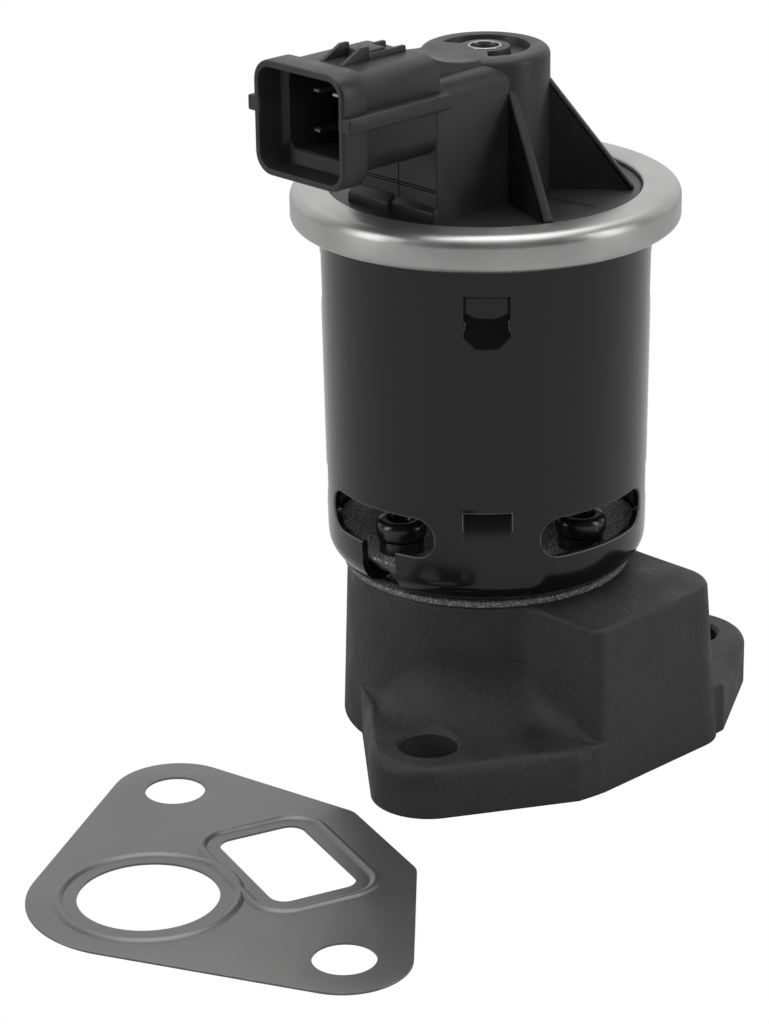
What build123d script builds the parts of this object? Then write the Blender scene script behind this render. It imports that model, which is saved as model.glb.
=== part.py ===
from build123d import *
from math import cos, pi, radians, sin, sqrt
import os

# Exhaust gas recirculation valve with a solenoid drive and a lift sensor.
# Millimetres. The origin is the valve axis on the mounting face, +Z points up the axis,
# +X runs from one flange stud to the other and -Y towards the rectangular port.
os.makedirs("parts", exist_ok=True)

# Fits and gaps, the run of a cut past the face it opens and the root of a raised piece
press_gap = 0.02
running_gap = 0.05
loose_gap = 0.3
seat_gap = 0.06
cut_past = 1.0
root_depth = 1.0

# Flange and the pattern it shares with its gasket
stud_spacing = 61.6
stud_line_y = -17.5
stud_hole_r = 4.6
ear_r = 9.3
flange_back_r = 21.5
round_port_r = 10.7
rect_port_x = 22.6
rect_port_y = 14.0
rect_port_centre_y = -22.8
rect_port_corner_r = 2.5
flange_flat_y = -37.2
flange_flat_half = 14.8
flange_corner_r = 4.0
flange_thickness = 8.5
flange_edge_bevel = 0.8

# Cast body
body_step = 3.6
body_taper = 1.0
flare_r = 8.0
flare_overlap = 0.4
spot_face_r = 8.0
block_left_x = -12.9
block_right_x = 19.4
block_draft_angle = 3.0
block_left_corner_r = 2.0
block_right_corner_r = 6.5
block_top_edge_r = 1.0
chamber_margin = 1.1
duct_left_x = -7.6
duct_right_x = 11.3
duct_roof_drop = 1.7
duct_corner_r = 2.5

# Seat, valve and guide
seat_rise = 1.0
seat_ledge = 0.6
seat_height = 3.7
seat_neck = 3.5
seat_mouth = 1.8
head_inset = 0.3
head_thickness = 1.8
head_rim_height = 0.7
head_neck_height = 1.0
head_nose_height = 0.6
head_nose_inset = 1.4
neck_flare = 1.6
valve_lift = 4.2
lift_clearance = 0.14
stem_r = 2.75
stem_thread_depth = 0.35
carrier_margin = 0.8
carrier_depth = 5.7
carrier_flange_reach = 1.9
carrier_flange_thickness = 2.2
carrier_nose_wall = 1.0
carrier_nose_length = 0.7
guide_wall = 1.85
shield_wall = 0.5
seal_wall = 2.2
seal_height = 2.4

# Gasket and floor under the can
base_gasket_overhang = 0.6
base_gasket_thickness = 1.0
gasket_hole_gap = 1.2
insulator_height = 3.8
insulator_wall_gap = 0.35
insulator_hole_gap = 2.5

# Can
can_top_r = 26.4
can_taper = 0.6
can_wall = 1.2
can_corner_r = 4.5
can_flange_reach = 3.2
window_sill = 2.7
window_height = 6.5
window_half_angle = 26.0
window_corner_r = 3.0
notch_angle = 15.9
notch_centre_angle = 2.8
pocket_width = 7.3
pocket_height = 8.4
pocket_chamfer = 2.2
pocket_depth = 1.5
dimple_width = 7.6
dimple_height = 5.5
dimple_depth = 0.9
dimple_shelf = 0.4
rows_of_four = 4
first_corner_angle = -135.0

# Can screws
screw_wall_distance = 6.8
first_screw_angle = 179.0
second_screw_angle = 97.0
screw_shank_r = 2.4
screw_head_r = 4.05
screw_head_height = 3.4
screw_head_edge = 0.7
screw_collar_r = 3.3
screw_collar_height = 2.1
screw_socket_r = 2.7
screw_socket_depth = 1.5
screw_bite = 4.8
screw_hole_extra = 0.5

# Solenoid
lower_plate_rise = 11.3
plate_thickness = 3.1
plate_wall_gap = 0.2
sleeve_wall = 0.6
armature_length = 20.0
armature_rest_gap = 1.0
armature_wall = 1.9
armature_edge = 0.5
armature_bore_depth = 8.4
lift_reserve = 0.6
pole_length = 6.1
pole_bore_depth = 3.0
return_wire_r = 0.42
wire_sides = 6
return_turns = 5
spring_side_gap = 0.3
bobbin_hub_wall = 1.2
bobbin_wall_gap = 1.6
bobbin_flange_thickness = 1.4
coil_margin = 0.8
nut_wall = 1.6
nut_height = 3.2
thread_beyond_nut = 0.6
coil_blade_width = 1.6
coil_blade_thickness = 0.7
coil_blade_y = 3.0
coil_blade_inset = 2.0
coil_blade_reach = 2.2
coil_blade_clearance = 0.8

# Crimp ring
ring_side_wall = 1.3
ring_wall = 1.0
ring_lip_reach = 1.6
ring_foot_gap = 0.6
ring_top_edge_r = 1.6
ring_foot_edge_r = 0.9

# Sensor cap
cap_plate_depth = 4.2
cap_flange_thickness = 2.6
cap_disc_rise = 0.2
cap_wall_gap = 0.25
boss_wall = 2.6
boss_height = 22.6
boss_edge_bevel = 0.8
tower_half_y = 9.3
tower_left_x = -19.8
tower_drop = 0.7
tower_edge_r = 2.6
tower_corner_r = 1.5
tower_side_wall = 2.9
tower_end_wall = 3.2
saddle_half_y = 6.0
saddle_length = (2.4, 3.6)
saddle_rise = (1.5, 0.55)
cavity_r = 7.6
cavity_roof_drop = 4.4
cavity_floor_drop = 3.0
rib_angles = (57.5, 111.0, -57.5, -111.0)
rib_thickness = 1.4
rib_drop = 5.0
rib_foot_gap = 1.4
rib_foot_height = 0.6
groove_outer_r = 6.5
groove_inner_r = 4.2
groove_depth = 1.3
groove_start_angle = -130.0
groove_sweep_angle = 243.0
step_width = 5.1
step_ring_gap = 1.74
step_offset = 0.5
step_split_y = 0.2
step_height = 2.9
step_chamfer = 1.2

# Connector shroud
plug_axis_rise = 18.0
shroud_length = 19.7
shroud_half_y = 9.2
shroud_height = 15.4
shroud_corner_r = 3.2
shroud_wall = 1.7
shroud_root = 1.2
socket_floor = 2.7
socket_corner_r = 1.6
lip_length = 5.0
lip_side_step = 0.6
lip_bottom_step = 1.7
lip_top_step = 0.7
lip_wall = 1.1
lip_corner_r = 3.4
rail_reach = 2.0
rail_root = 2.0
rail_height = 2.4
latch_gap = 2.15
latch_width = 0.7
latch_setback = 6.9
latch_ramp_length = 4.0
latch_crest_length = 1.6
latch_height = 2.1
latch_pad_length = 4.5
latch_pad_height = 1.3
rib_bar_end_gap = 0.8
rib_bar_height = 0.9

# Connector blades
pin_row_rise = (2.7, -3.5)
pin_pitch = 4.2
pin_setback = 7.7
pin_width = 1.2
pin_thickness = 0.8
pin_tip_bevel = 0.25
pin_board_distance = (1.6, 3.6)
pin_drop_length = (9.0, 6.6)

# Eyelet in the boss
eyelet_r = 2.7
eyelet_bore_r = 1.8
eyelet_depth = 3.2
eyelet_stand = 0.15

# Lift sensor
plunger_r = 1.5
plunger_head_margin = 1.1
plunger_head_rise = 3.6
plunger_head_height = 2.2
plunger_tip_length = 3.0
bush_wall = 2.7
bush_height = 5.0
board_thickness = 1.0
board_height = 16.0
board_setback = 4.8
board_gap = 0.05
wiper_width = 4.4
wiper_thickness = 0.4
wiper_drop = 3.0
wiper_root = 1.0
sensor_wire_r = 0.3
sensor_coil_gap = 1.5
sensor_turns = 4

# Seal ring under the cap
seal_ring_width = 1.7
seal_ring_height = 1.74
seal_groove_gap = 0.08

# Flange gasket, laid beside the valve
gasket_x = -84.85
gasket_y = -12.8
gasket_turn_angle = 72.5
gasket_thickness = 0.35
gasket_back_r = 18.3
gasket_ear_r = 10.0
gasket_flat_y = -39.3
gasket_flat_half = 9.9
gasket_stud_hole_r = 4.75
bead_offset = 2.0
bead_width = 1.8
bead_height = 0.4

# Radii that follow from the sizes above
can_foot_r = can_top_r - can_taper
can_flange_r = can_top_r + can_flange_reach
ring_outer_r = can_flange_r + ring_side_wall
ring_opening_r = can_top_r - ring_lip_reach
ring_foot_inner_r = can_top_r + ring_foot_gap
body_top_r = can_top_r - body_step
body_foot_r = body_top_r + body_taper
base_gasket_r = body_top_r + base_gasket_overhang
screw_ring_r = can_foot_r - screw_wall_distance
seat_outer_r = round_port_r + seat_ledge
chamber_r = seat_outer_r + chamber_margin
throat_r = round_port_r - seat_neck
seat_mouth_r = throat_r + seat_mouth
head_r = seat_mouth_r - head_inset
carrier_plug_r = head_r + carrier_margin
carrier_flange_r = carrier_plug_r + carrier_flange_reach
guide_r = stem_r + guide_wall
carrier_nose_r = guide_r + carrier_nose_wall
seal_r = stem_r + seal_wall
gasket_hole_r = seal_r + gasket_hole_gap
insulator_hole_r = seal_r + insulator_hole_gap
stem_thread_r = stem_r - stem_thread_depth
nut_flat_r = stem_thread_r + nut_wall
return_coil_r = nut_flat_r / cos(pi / 6) + spring_side_gap + return_wire_r
counterbore_r = return_coil_r + return_wire_r + spring_side_gap
sleeve_bore_r = counterbore_r + armature_wall
sleeve_outer_r = sleeve_bore_r + sleeve_wall
bobbin_flange_r = can_foot_r - can_wall - bobbin_wall_gap
boss_r = cavity_r + boss_wall
rib_foot_r = ring_opening_r - rib_foot_gap
bush_r = plunger_r + bush_wall
sensor_coil_r = plunger_r + sensor_coil_gap + sensor_wire_r
plunger_head_r = sensor_coil_r + plunger_head_margin

# Levels that follow from the sizes above
seat_bottom = flange_thickness + seat_rise
seat_top = seat_bottom + seat_height
head_land = seat_top - head_inset + seat_gap
head_top = head_land + head_thickness + head_neck_height
nose_bottom = head_top + valve_lift + lift_clearance + shield_wall
carrier_bottom = nose_bottom + carrier_nose_length
duct_roof = carrier_bottom - duct_roof_drop
body_height = carrier_bottom + carrier_depth
can_foot = body_height + base_gasket_thickness
insulator_bottom = can_foot + can_wall
floor_level = insulator_bottom + insulator_height
window_bottom = floor_level + window_sill
lower_plate_bottom = floor_level + lower_plate_rise
lower_plate_top = lower_plate_bottom + plate_thickness
armature_bottom = lower_plate_top + armature_rest_gap
armature_top = armature_bottom + armature_length
armature_floor = armature_top - armature_bore_depth
stem_top = armature_floor + nut_height + thread_beyond_nut
pole_face = armature_top + valve_lift + lift_reserve
upper_plate_bottom = pole_face + pole_length
upper_plate_top = upper_plate_bottom + plate_thickness
can_top = upper_plate_top + cap_plate_depth
can_flange_bottom = can_top - can_wall
ring_bottom = can_flange_bottom - ring_wall
cap_flange_top = can_top + cap_flange_thickness
ring_top = cap_flange_top + ring_wall
disc_level = cap_flange_top + cap_disc_rise
cavity_floor = disc_level - cavity_floor_drop
boss_top = disc_level + boss_height
tower_top = boss_top - tower_drop
cavity_roof = boss_top - cavity_roof_drop
rib_top = boss_top - rib_drop
plug_axis = disc_level + plug_axis_rise
shroud_bottom = plug_axis - shroud_height / 2
shroud_top = plug_axis + shroud_height / 2
lip_bottom = shroud_bottom - lip_bottom_step
lip_top = shroud_top + lip_top_step
plunger_head_z = disc_level + plunger_head_rise

# Places along the connector that follow from the sizes above
cavity_left_x = tower_left_x + tower_end_wall
cavity_half_y = tower_half_y - tower_side_wall
board_x = cavity_left_x + board_setback
coil_blade_x = cavity_left_x + coil_blade_inset
shroud_floor_x = tower_left_x - socket_floor
mouth_x = tower_left_x - shroud_length
lip_half_y = shroud_half_y + lip_side_step
rail_half_y = shroud_half_y + rail_reach
latch_front_x = mouth_x + latch_setback
latch_crest_x = latch_front_x + latch_ramp_length
latch_back_x = latch_crest_x + latch_crest_length
latch_pad_back_x = latch_back_x + latch_pad_length
shroud_back_x = tower_left_x + shroud_root
rib_bar_back_x = shroud_back_x - rib_bar_end_gap
pin_tip_x = mouth_x + pin_setback
step_left_x = -sqrt((ring_opening_r - step_ring_gap) ** 2 - tower_half_y ** 2)
step_right_x = step_left_x + step_width


def ring(outer, inner, bottom, top):
    """Plain tube between two heights."""
    tube = Cylinder(outer, top - bottom, align=(Align.CENTER, Align.CENTER, Align.MIN))
    return Pos(0, 0, bottom) * tube - bore(inner, bottom, top)


def disc(radius, bottom, top):
    """Plain round plate between two heights."""
    plate = Cylinder(radius, top - bottom, align=(Align.CENTER, Align.CENTER, Align.MIN))
    return Pos(0, 0, bottom) * plate


def bore(radius, bottom, top):
    """Round cut right through a piece between two heights."""
    return disc(radius, bottom - cut_past, top + cut_past)


def block(x0, x1, y0, y1, z0, z1):
    """Box given by its two corners."""
    return Pos((x0 + x1) / 2, (y0 + y1) / 2, (z0 + z1) / 2) * Box(x1 - x0, y1 - y0, z1 - z0)


def turned(*points):
    """Solid of revolution about the valve axis from radius and height pairs."""
    outline = Polyline(*[(r, 0, z) for r, z in points], close=True)
    return revolve(make_face(outline), Axis.Z)


def can_outer_at(z):
    """Outer radius of the drawn can, which widens a little towards its mouth."""
    share = (z - can_foot) / (can_flange_bottom - can_foot)
    return can_foot_r + (can_top_r - can_foot_r) * share


def can_inner_at(z):
    return can_outer_at(z) - can_wall


def coil_spring(mean_r, wire_r, bottom, top, turns):
    """Helix of wire between two seats, just clear of both."""
    height = top - bottom - 2 * wire_r - 2 * seat_gap
    path = Helix(height / turns, height, mean_r, center=(0, 0, bottom + wire_r + seat_gap))
    section = Plane(path @ 0, z_dir=path % 0) * RegularPolygon(wire_r, wire_sides)
    return sweep(section, path)


def flange_outline(back_r, end_r, flat_y, flat_half):
    """Tangent hull round the back curve, the two stud ears and the two front corners."""
    rounds = [Circle(back_r)]
    for side in (-1, 1):
        rounds.append(Pos(side * stud_spacing / 2, stud_line_y) * Circle(end_r))
        corner = Pos(side * flat_half, flat_y + flange_corner_r)
        rounds.append(corner * Circle(flange_corner_r))
    return make_hull([edge for face in rounds for edge in face.edges()])


def rect_port(grow, corner):
    """Rectangular port outline, grown by a margin all round."""
    port = RectangleRounded(rect_port_x + 2 * grow, rect_port_y + 2 * grow, corner)
    return Pos(0, rect_port_centre_y) * port


def make_valve_base():
    outline = flange_outline(flange_back_r, ear_r, flange_flat_y, flange_flat_half)
    plate = extrude(outline, flange_thickness)
    plate = chamfer(plate.edges().group_by(Axis.Z)[-1], flange_edge_bevel)
    cone = Cone(body_foot_r, body_top_r, body_height, align=(Align.CENTER, Align.CENTER, Align.MIN))

    # Concave flare that carries the ears into the round body
    flare_foot = body_top_r + flare_overlap
    flare_top = flange_thickness + flare_r
    sweep_in = flare_r * sin(pi / 4)
    start = (flare_foot, 0, flare_top)
    middle = (flare_foot + flare_r - sweep_in, 0, flare_top - sweep_in)
    end = (flare_foot + flare_r, 0, flange_thickness)
    outer_root = (end[0], 0, root_depth)
    inner_root = (chamber_r, 0, root_depth)
    edges = [
        ThreePointArc(start, middle, end),
        Polyline(end, outer_root, inner_root, (chamber_r, 0, flare_top), start),
    ]
    flare = revolve(make_face(edges), Axis.Z)
    flare = flare & extrude(outline, flare_top)

    # Tall block over the rectangular port, drawn in slightly towards its top
    width = block_right_x - block_left_x
    depth = -flange_flat_y
    foot = Rectangle(width, depth)
    left = foot.vertices().group_by(Axis.Y)[0].sort_by(Axis.X)[0]
    foot = fillet(left, block_left_corner_r)
    right = foot.vertices().group_by(Axis.X)[-1].sort_by(Axis.Y)[0]
    foot = fillet(right, block_right_corner_r)
    centre = Pos((block_left_x + block_right_x) / 2, flange_flat_y / 2)
    tall = extrude(centre * foot, body_height, taper=block_draft_angle)
    tall = fillet(tall.faces().sort_by(Axis.Z)[-1].edges(), block_top_edge_r)

    body = plate + cone + flare + tall
    for side in (-1, 1):
        place = Pos(side * stud_spacing / 2, stud_line_y, 0)
        face_cut = place * disc(spot_face_r, flange_thickness, flange_thickness + flare_r)
        body -= face_cut - tall - cone
        body -= place * bore(stud_hole_r, 0, flange_thickness)

    # Gas way: round port, valve chamber, duct and rectangular port
    body -= bore(round_port_r, 0, seat_bottom)
    body -= disc(seat_outer_r, seat_bottom, seat_top + cut_past)
    body -= disc(chamber_r, seat_top, carrier_bottom)
    duct_width = duct_right_x - duct_left_x
    duct_middle = (duct_left_x + duct_right_x) / 2
    back_y = rect_port_centre_y - rect_port_y / 2
    duct_floor = Pos(duct_middle, back_y / 2, seat_top) * Rectangle(duct_width, -back_y)
    body -= extrude(duct_floor, duct_roof - seat_top)
    riser_top = Pos(duct_middle, rect_port_centre_y, flange_thickness)
    riser_top *= RectangleRounded(duct_width, rect_port_y, duct_corner_r)
    body -= loft([rect_port(0, rect_port_corner_r), riser_top])
    body -= extrude(riser_top, duct_roof - flange_thickness)

    # Seat for the guide carrier and blind holes for the can screws
    body -= bore(carrier_plug_r + press_gap, carrier_bottom, body_height)
    flange_seat = body_height - carrier_flange_thickness
    body -= disc(carrier_flange_r + press_gap, flange_seat, body_height + cut_past)
    for spot in screw_spots():
        hole_end = body_height - screw_bite - screw_hole_extra
        body -= spot * disc(screw_shank_r + press_gap, hole_end, body_height + cut_past)
    return body


def screw_spots():
    """Places of the four can screws, as two pairs across the axis."""
    angles = (first_screw_angle, second_screw_angle, first_screw_angle - 180, second_screw_angle - 180)
    return [Rot(0, 0, angle) * Pos(screw_ring_r, 0, 0) for angle in angles]


def make_valve_seat():
    seat = ring(seat_outer_r - press_gap, throat_r, seat_bottom, seat_top)
    cone = Cone(throat_r, seat_mouth_r, seat_mouth, align=(Align.CENTER, Align.CENTER, Align.MAX))
    return seat - Pos(0, 0, seat_top) * cone


def make_valve_poppet():
    # The head closes down on the 45 degree seat
    rise = head_r - throat_r
    nose = head_land - rise - head_nose_height
    return turned(
        (0, nose),
        (throat_r - head_nose_inset, nose),
        (throat_r, head_land - rise),
        (head_r, head_land),
        (head_r, head_land + head_rim_height),
        (stem_r + neck_flare, head_land + head_thickness),
        (stem_r, head_top),
        (stem_r, armature_floor),
        (stem_thread_r, armature_floor),
        (stem_thread_r, stem_top),
        (0, stem_top),
    )


def make_guide_carrier():
    carrier = disc(carrier_plug_r, carrier_bottom, body_height)
    carrier += disc(carrier_flange_r, body_height - carrier_flange_thickness, body_height)
    carrier += disc(carrier_nose_r, nose_bottom, carrier_bottom)
    return carrier - bore(guide_r + press_gap, nose_bottom, body_height)


def make_stem_guide():
    return ring(guide_r, stem_r + running_gap, nose_bottom, body_height)


def make_deposit_shield():
    inner = carrier_nose_r + press_gap
    bottom = nose_bottom - shield_wall
    rim = carrier_bottom - running_gap
    cup = disc(inner + shield_wall, bottom, rim)
    cup -= disc(inner, nose_bottom, rim + cut_past)
    return cup - bore(stem_r + loose_gap, bottom, nose_bottom)


def make_stem_seal():
    return ring(seal_r, stem_r + running_gap, body_height, body_height + seal_height)


def make_base_gasket():
    plate = ring(base_gasket_r, gasket_hole_r, body_height, can_foot)
    for spot in screw_spots():
        plate -= spot * bore(screw_shank_r + loose_gap, body_height, can_foot)
    return plate


def make_heat_insulator():
    top_r = can_inner_at(floor_level) - insulator_wall_gap
    bevel = can_corner_r - can_wall
    plate = turned(
        (insulator_hole_r, insulator_bottom),
        (top_r - bevel, insulator_bottom),
        (top_r, insulator_bottom + bevel),
        (top_r, floor_level),
        (insulator_hole_r, floor_level),
    )
    for spot in screw_spots():
        plate -= spot * bore(screw_shank_r + loose_gap, insulator_bottom, floor_level)
    return plate


def wall_patch(width, bottom, top, reach, chamfer_size=0.0):
    """Block that cuts the can wall on the +X side, with its lower corners chamfered."""
    outline = Rectangle(width, top - bottom)
    if chamfer_size > 0:
        outline = chamfer(outline.vertices().group_by(Axis.Y)[0], chamfer_size)
    upright = Plane((0, 0, (bottom + top) / 2), x_dir=(0, 1, 0), z_dir=(1, 0, 0))
    return extrude(upright * outline, reach)


def wall_tab(width, bottom, top, radius, chamfer_size=0.0):
    """Pressed-in piece of the can wall behind a pocket, out to the given radius."""
    tab = wall_patch(width + 2 * can_wall, bottom - can_wall, top, radius, chamfer_size)
    return tab - bore(radius - can_wall, bottom - can_wall, top)


def wall_cut(width, bottom, top, radius, chamfer_size=0.0):
    """Space of a pocket in front of the given radius."""
    cut = wall_patch(width, bottom, top, can_top_r + cut_past, chamfer_size)
    return cut - bore(radius, bottom, top)


def window_cutter():
    """Slot with rounded ends through the +X side of the can wall."""
    half = can_foot_r * sin(radians(window_half_angle))
    middle = window_bottom + window_height / 2
    upright = Plane((0, 0, middle), x_dir=(0, 1, 0), z_dir=(1, 0, 0))
    slot = RectangleRounded(2 * half, window_height, window_corner_r)
    return extrude(upright * slot, can_top_r + cut_past)


def make_can_shell():
    """Drawn cup with a rounded foot corner and a turned-out flange."""
    foot = can_foot
    corner = can_corner_r
    inner_corner = corner - can_wall
    tip = sin(pi / 4)
    outer_low = (can_foot_r - corner, 0, foot)
    outer_mid = (can_foot_r - corner + corner * tip, 0, foot + corner - corner * tip)
    outer_high = (can_foot_r, 0, foot + corner)
    inner_high = (can_foot_r - can_wall, 0, foot + corner)
    inner_mid = (can_foot_r - corner + inner_corner * tip, 0, foot + corner - inner_corner * tip)
    inner_low = (can_foot_r - corner, 0, foot + can_wall)
    rim = can_flange_bottom
    rim_low = (can_flange_r, 0, rim)
    rim_high = (can_flange_r, 0, can_top)
    outline = [
        Line((gasket_hole_r, 0, foot), outer_low),
        ThreePointArc(outer_low, outer_mid, outer_high),
        Polyline(outer_high, (can_top_r, 0, rim), rim_low, rim_high),
        Polyline(rim_high, (can_top_r - can_wall, 0, can_top), inner_high),
        ThreePointArc(inner_high, inner_mid, inner_low),
        Polyline(inner_low, (gasket_hole_r, 0, foot + can_wall), (gasket_hole_r, 0, foot)),
    ]
    return revolve(make_face(outline), Axis.Z)


def make_housing_can():
    can = make_can_shell()
    window = window_cutter()
    for quarter in range(rows_of_four):
        can -= Rot(0, 0, 90 * quarter) * window
    notch_width = 2 * can_foot_r * sin(radians(notch_angle / 2))
    notch_top = window_bottom + cut_past
    notch = wall_patch(notch_width, can_foot - cut_past, notch_top, can_top_r + cut_past)
    notch -= bore(can_foot_r - can_corner_r, can_foot - cut_past, notch_top)
    can -= Rot(0, 0, 180 + notch_centre_angle) * notch

    # Lanced pockets under the upper plate and pressed dimples under the lower plate
    pocket_bottom = upper_plate_bottom - pocket_height
    pocket_r = can_outer_at(upper_plate_bottom) - pocket_depth
    pocket_tab = wall_tab(pocket_width, pocket_bottom, upper_plate_bottom, pocket_r, pocket_chamfer)
    pocket_cut = wall_cut(pocket_width, pocket_bottom, upper_plate_bottom, pocket_r, pocket_chamfer)
    dimple_bottom = lower_plate_bottom - dimple_height
    dimple_r = can_outer_at(lower_plate_bottom) - dimple_depth
    dimple_tab = wall_tab(dimple_width, dimple_bottom, lower_plate_bottom, dimple_r)
    dimple_cut = wall_cut(dimple_width, dimple_bottom, lower_plate_bottom - dimple_shelf, dimple_r)
    for quarter in range(rows_of_four):
        turn = Rot(0, 0, first_corner_angle + 90 * quarter)
        can = can + turn * pocket_tab - turn * pocket_cut
        can = can + turn * dimple_tab - turn * dimple_cut
    for spot in screw_spots():
        can -= spot * bore(screw_shank_r + loose_gap, can_foot, insulator_bottom)
    return can


def make_can_screws():
    head_foot = floor_level + screw_collar_height
    head_top = head_foot + screw_head_height
    screw = disc(screw_shank_r, body_height - screw_bite, floor_level)
    screw += disc(screw_collar_r, floor_level, head_foot)
    head = disc(screw_head_r, head_foot, head_top)
    screw += chamfer(head.edges().group_by(Axis.Z)[-1], screw_head_edge)
    socket = RegularPolygon(screw_socket_r, 6)
    screw -= Pos(0, 0, head_top - screw_socket_depth) * extrude(socket, screw_socket_depth + cut_past)
    return Compound(children=[spot * screw for spot in screw_spots()])


def make_lower_plate():
    plate_r = can_inner_at(lower_plate_bottom) - plate_wall_gap
    return ring(plate_r, stem_r + loose_gap, lower_plate_bottom, lower_plate_top)


def make_guide_sleeve():
    return ring(sleeve_outer_r, sleeve_bore_r, lower_plate_top, upper_plate_bottom - loose_gap)


def make_armature():
    slug = disc(sleeve_bore_r - running_gap, armature_bottom, armature_top)
    slug = chamfer(slug.edges().filter_by(GeomType.CIRCLE), armature_edge)
    slug -= disc(counterbore_r, armature_floor, armature_top + cut_past)
    return slug - bore(stem_r + press_gap, armature_bottom, armature_floor)


def make_stem_nut():
    nut = extrude(RegularPolygon(nut_flat_r, 6, major_radius=False), nut_height)
    return Pos(0, 0, armature_floor) * nut - bore(stem_thread_r + press_gap, armature_floor, stem_top)


def make_upper_pole():
    plate = disc(can_inner_at(upper_plate_bottom) - plate_wall_gap, upper_plate_bottom, upper_plate_top)
    plate += disc(sleeve_bore_r - press_gap, pole_face, upper_plate_bottom)
    plate -= disc(counterbore_r, pole_face - cut_past, pole_face + pole_bore_depth)
    plate -= bore(plunger_r + loose_gap, pole_face, upper_plate_top)
    blade_hole_r = coil_blade_width / 2 + coil_blade_clearance
    for side in (-1, 1):
        plate -= coil_blade_place(side) * bore(blade_hole_r, upper_plate_bottom, upper_plate_top)
    return plate


def make_return_spring():
    upper_seat = pole_face + pole_bore_depth
    return coil_spring(return_coil_r, return_wire_r, armature_floor, upper_seat, return_turns)


def make_bobbin():
    bottom = lower_plate_top
    top = upper_plate_bottom
    hub = sleeve_outer_r + press_gap
    spool = disc(hub + bobbin_hub_wall, bottom, top)
    spool += disc(bobbin_flange_r, bottom, bottom + bobbin_flange_thickness)
    spool += disc(bobbin_flange_r, top - bobbin_flange_thickness, top)
    spool -= bore(hub, bottom, top)
    for side in (-1, 1):
        slot = coil_blade(top - bobbin_flange_thickness - cut_past, top + cut_past, press_gap)
        spool -= coil_blade_place(side) * slot
    return spool


def make_coil_winding():
    inner = sleeve_outer_r + press_gap + bobbin_hub_wall
    bottom = lower_plate_top + bobbin_flange_thickness
    top = upper_plate_bottom - bobbin_flange_thickness
    return ring(bobbin_flange_r - coil_margin, inner + press_gap, bottom + press_gap, top - press_gap)


def coil_blade(low, high, grow=0.0):
    """Upright flat blade of the coil, or with a margin the slot it passes through."""
    half_x = coil_blade_thickness / 2 + grow
    half_y = coil_blade_width / 2 + grow
    return block(-half_x, half_x, -half_y, half_y, low, high)


def coil_blade_place(side):
    return Pos(coil_blade_x, side * coil_blade_y, 0)


def make_coil_blades():
    blade = coil_blade(upper_plate_bottom - bobbin_flange_thickness, cavity_floor + coil_blade_reach)
    return Compound(children=[coil_blade_place(side) * blade for side in (-1, 1)])


def make_crimp_ring():
    shell = disc(ring_outer_r, ring_bottom, ring_top)
    shell = fillet(shell.edges().group_by(Axis.Z)[-1], ring_top_edge_r)
    shell = fillet(shell.edges().group_by(Axis.Z)[0], ring_foot_edge_r)
    shell -= bore(ring_opening_r, ring_bottom, ring_top)
    shell -= disc(can_flange_r + press_gap, can_flange_bottom, cap_flange_top)
    return shell - bore(ring_foot_inner_r, ring_bottom, can_flange_bottom)


def connector_body():
    """Rounded shroud with its thicker mouth band, side rails, latch ramps and ribs."""
    upright = Plane((0, 0, 0), x_dir=(0, -1, 0), z_dir=(-1, 0, 0))

    def bar(half_y, low, high, corner, from_x, to_x):
        outline = Pos(0, (low + high) / 2) * RectangleRounded(2 * half_y, high - low, corner)
        return Pos(from_x, 0, 0) * extrude(upright * outline, from_x - to_x)

    band_x = mouth_x + lip_length
    front_x = band_x - root_depth
    body = bar(shroud_half_y, shroud_bottom, shroud_top, shroud_corner_r, shroud_back_x, front_x)
    body += bar(lip_half_y, lip_bottom, lip_top, lip_corner_r, band_x, mouth_x)
    rail_end_x = tower_left_x + rail_root
    body += block(mouth_x, rail_end_x, -rail_half_y, rail_half_y, plug_axis, plug_axis + rail_height)

    # Two thin latch ribs on top of the shroud, the pad between them and the bars behind
    ramp = Polyline(
        (latch_front_x, 0, shroud_top - root_depth),
        (latch_front_x, 0, shroud_top),
        (latch_crest_x, 0, shroud_top + latch_height),
        (latch_back_x, 0, shroud_top + latch_height),
        (latch_back_x, 0, shroud_top - root_depth),
        close=True,
    )
    low = shroud_top - root_depth
    for side in (-1, 1):
        middle = side * latch_gap
        tooth = extrude(make_face(ramp), latch_width / 2, both=True)
        body += Pos(0, middle, 0) * tooth
        front_x = latch_back_x - root_depth
        high = shroud_top + rib_bar_height
        half = latch_width / 2
        body += block(front_x, rib_bar_back_x, middle - half, middle + half, low, high)
    half = latch_gap + latch_width / 2
    high = shroud_top + latch_pad_height
    body += block(latch_crest_x, latch_pad_back_x, -half, half, low, high)

    # Mating cavity, stepped where the thin lip meets the shroud
    low = lip_bottom + lip_wall
    high = lip_top - lip_wall
    half = lip_half_y - lip_wall
    cavity = bar(half, low, high, lip_corner_r - lip_wall, band_x, mouth_x - cut_past)
    half = shroud_half_y - shroud_wall
    low = shroud_bottom + shroud_wall
    high = shroud_top - shroud_wall
    cavity += bar(half, low, high, socket_corner_r, shroud_floor_x, band_x - cut_past)
    return body, cavity


def cap_rib(angle):
    """Triangular gusset from the boss down to the edge of the disc."""
    foot = disc_level + rib_foot_height
    side = Polyline(
        (boss_r - root_depth, 0, disc_level - root_depth),
        (rib_foot_r, 0, disc_level - root_depth),
        (rib_foot_r, 0, foot),
        (boss_r, 0, rib_top),
        (boss_r - root_depth, 0, rib_top),
        close=True,
    )
    return Rot(0, 0, angle) * extrude(make_face(side), rib_thickness / 2, both=True)


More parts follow.
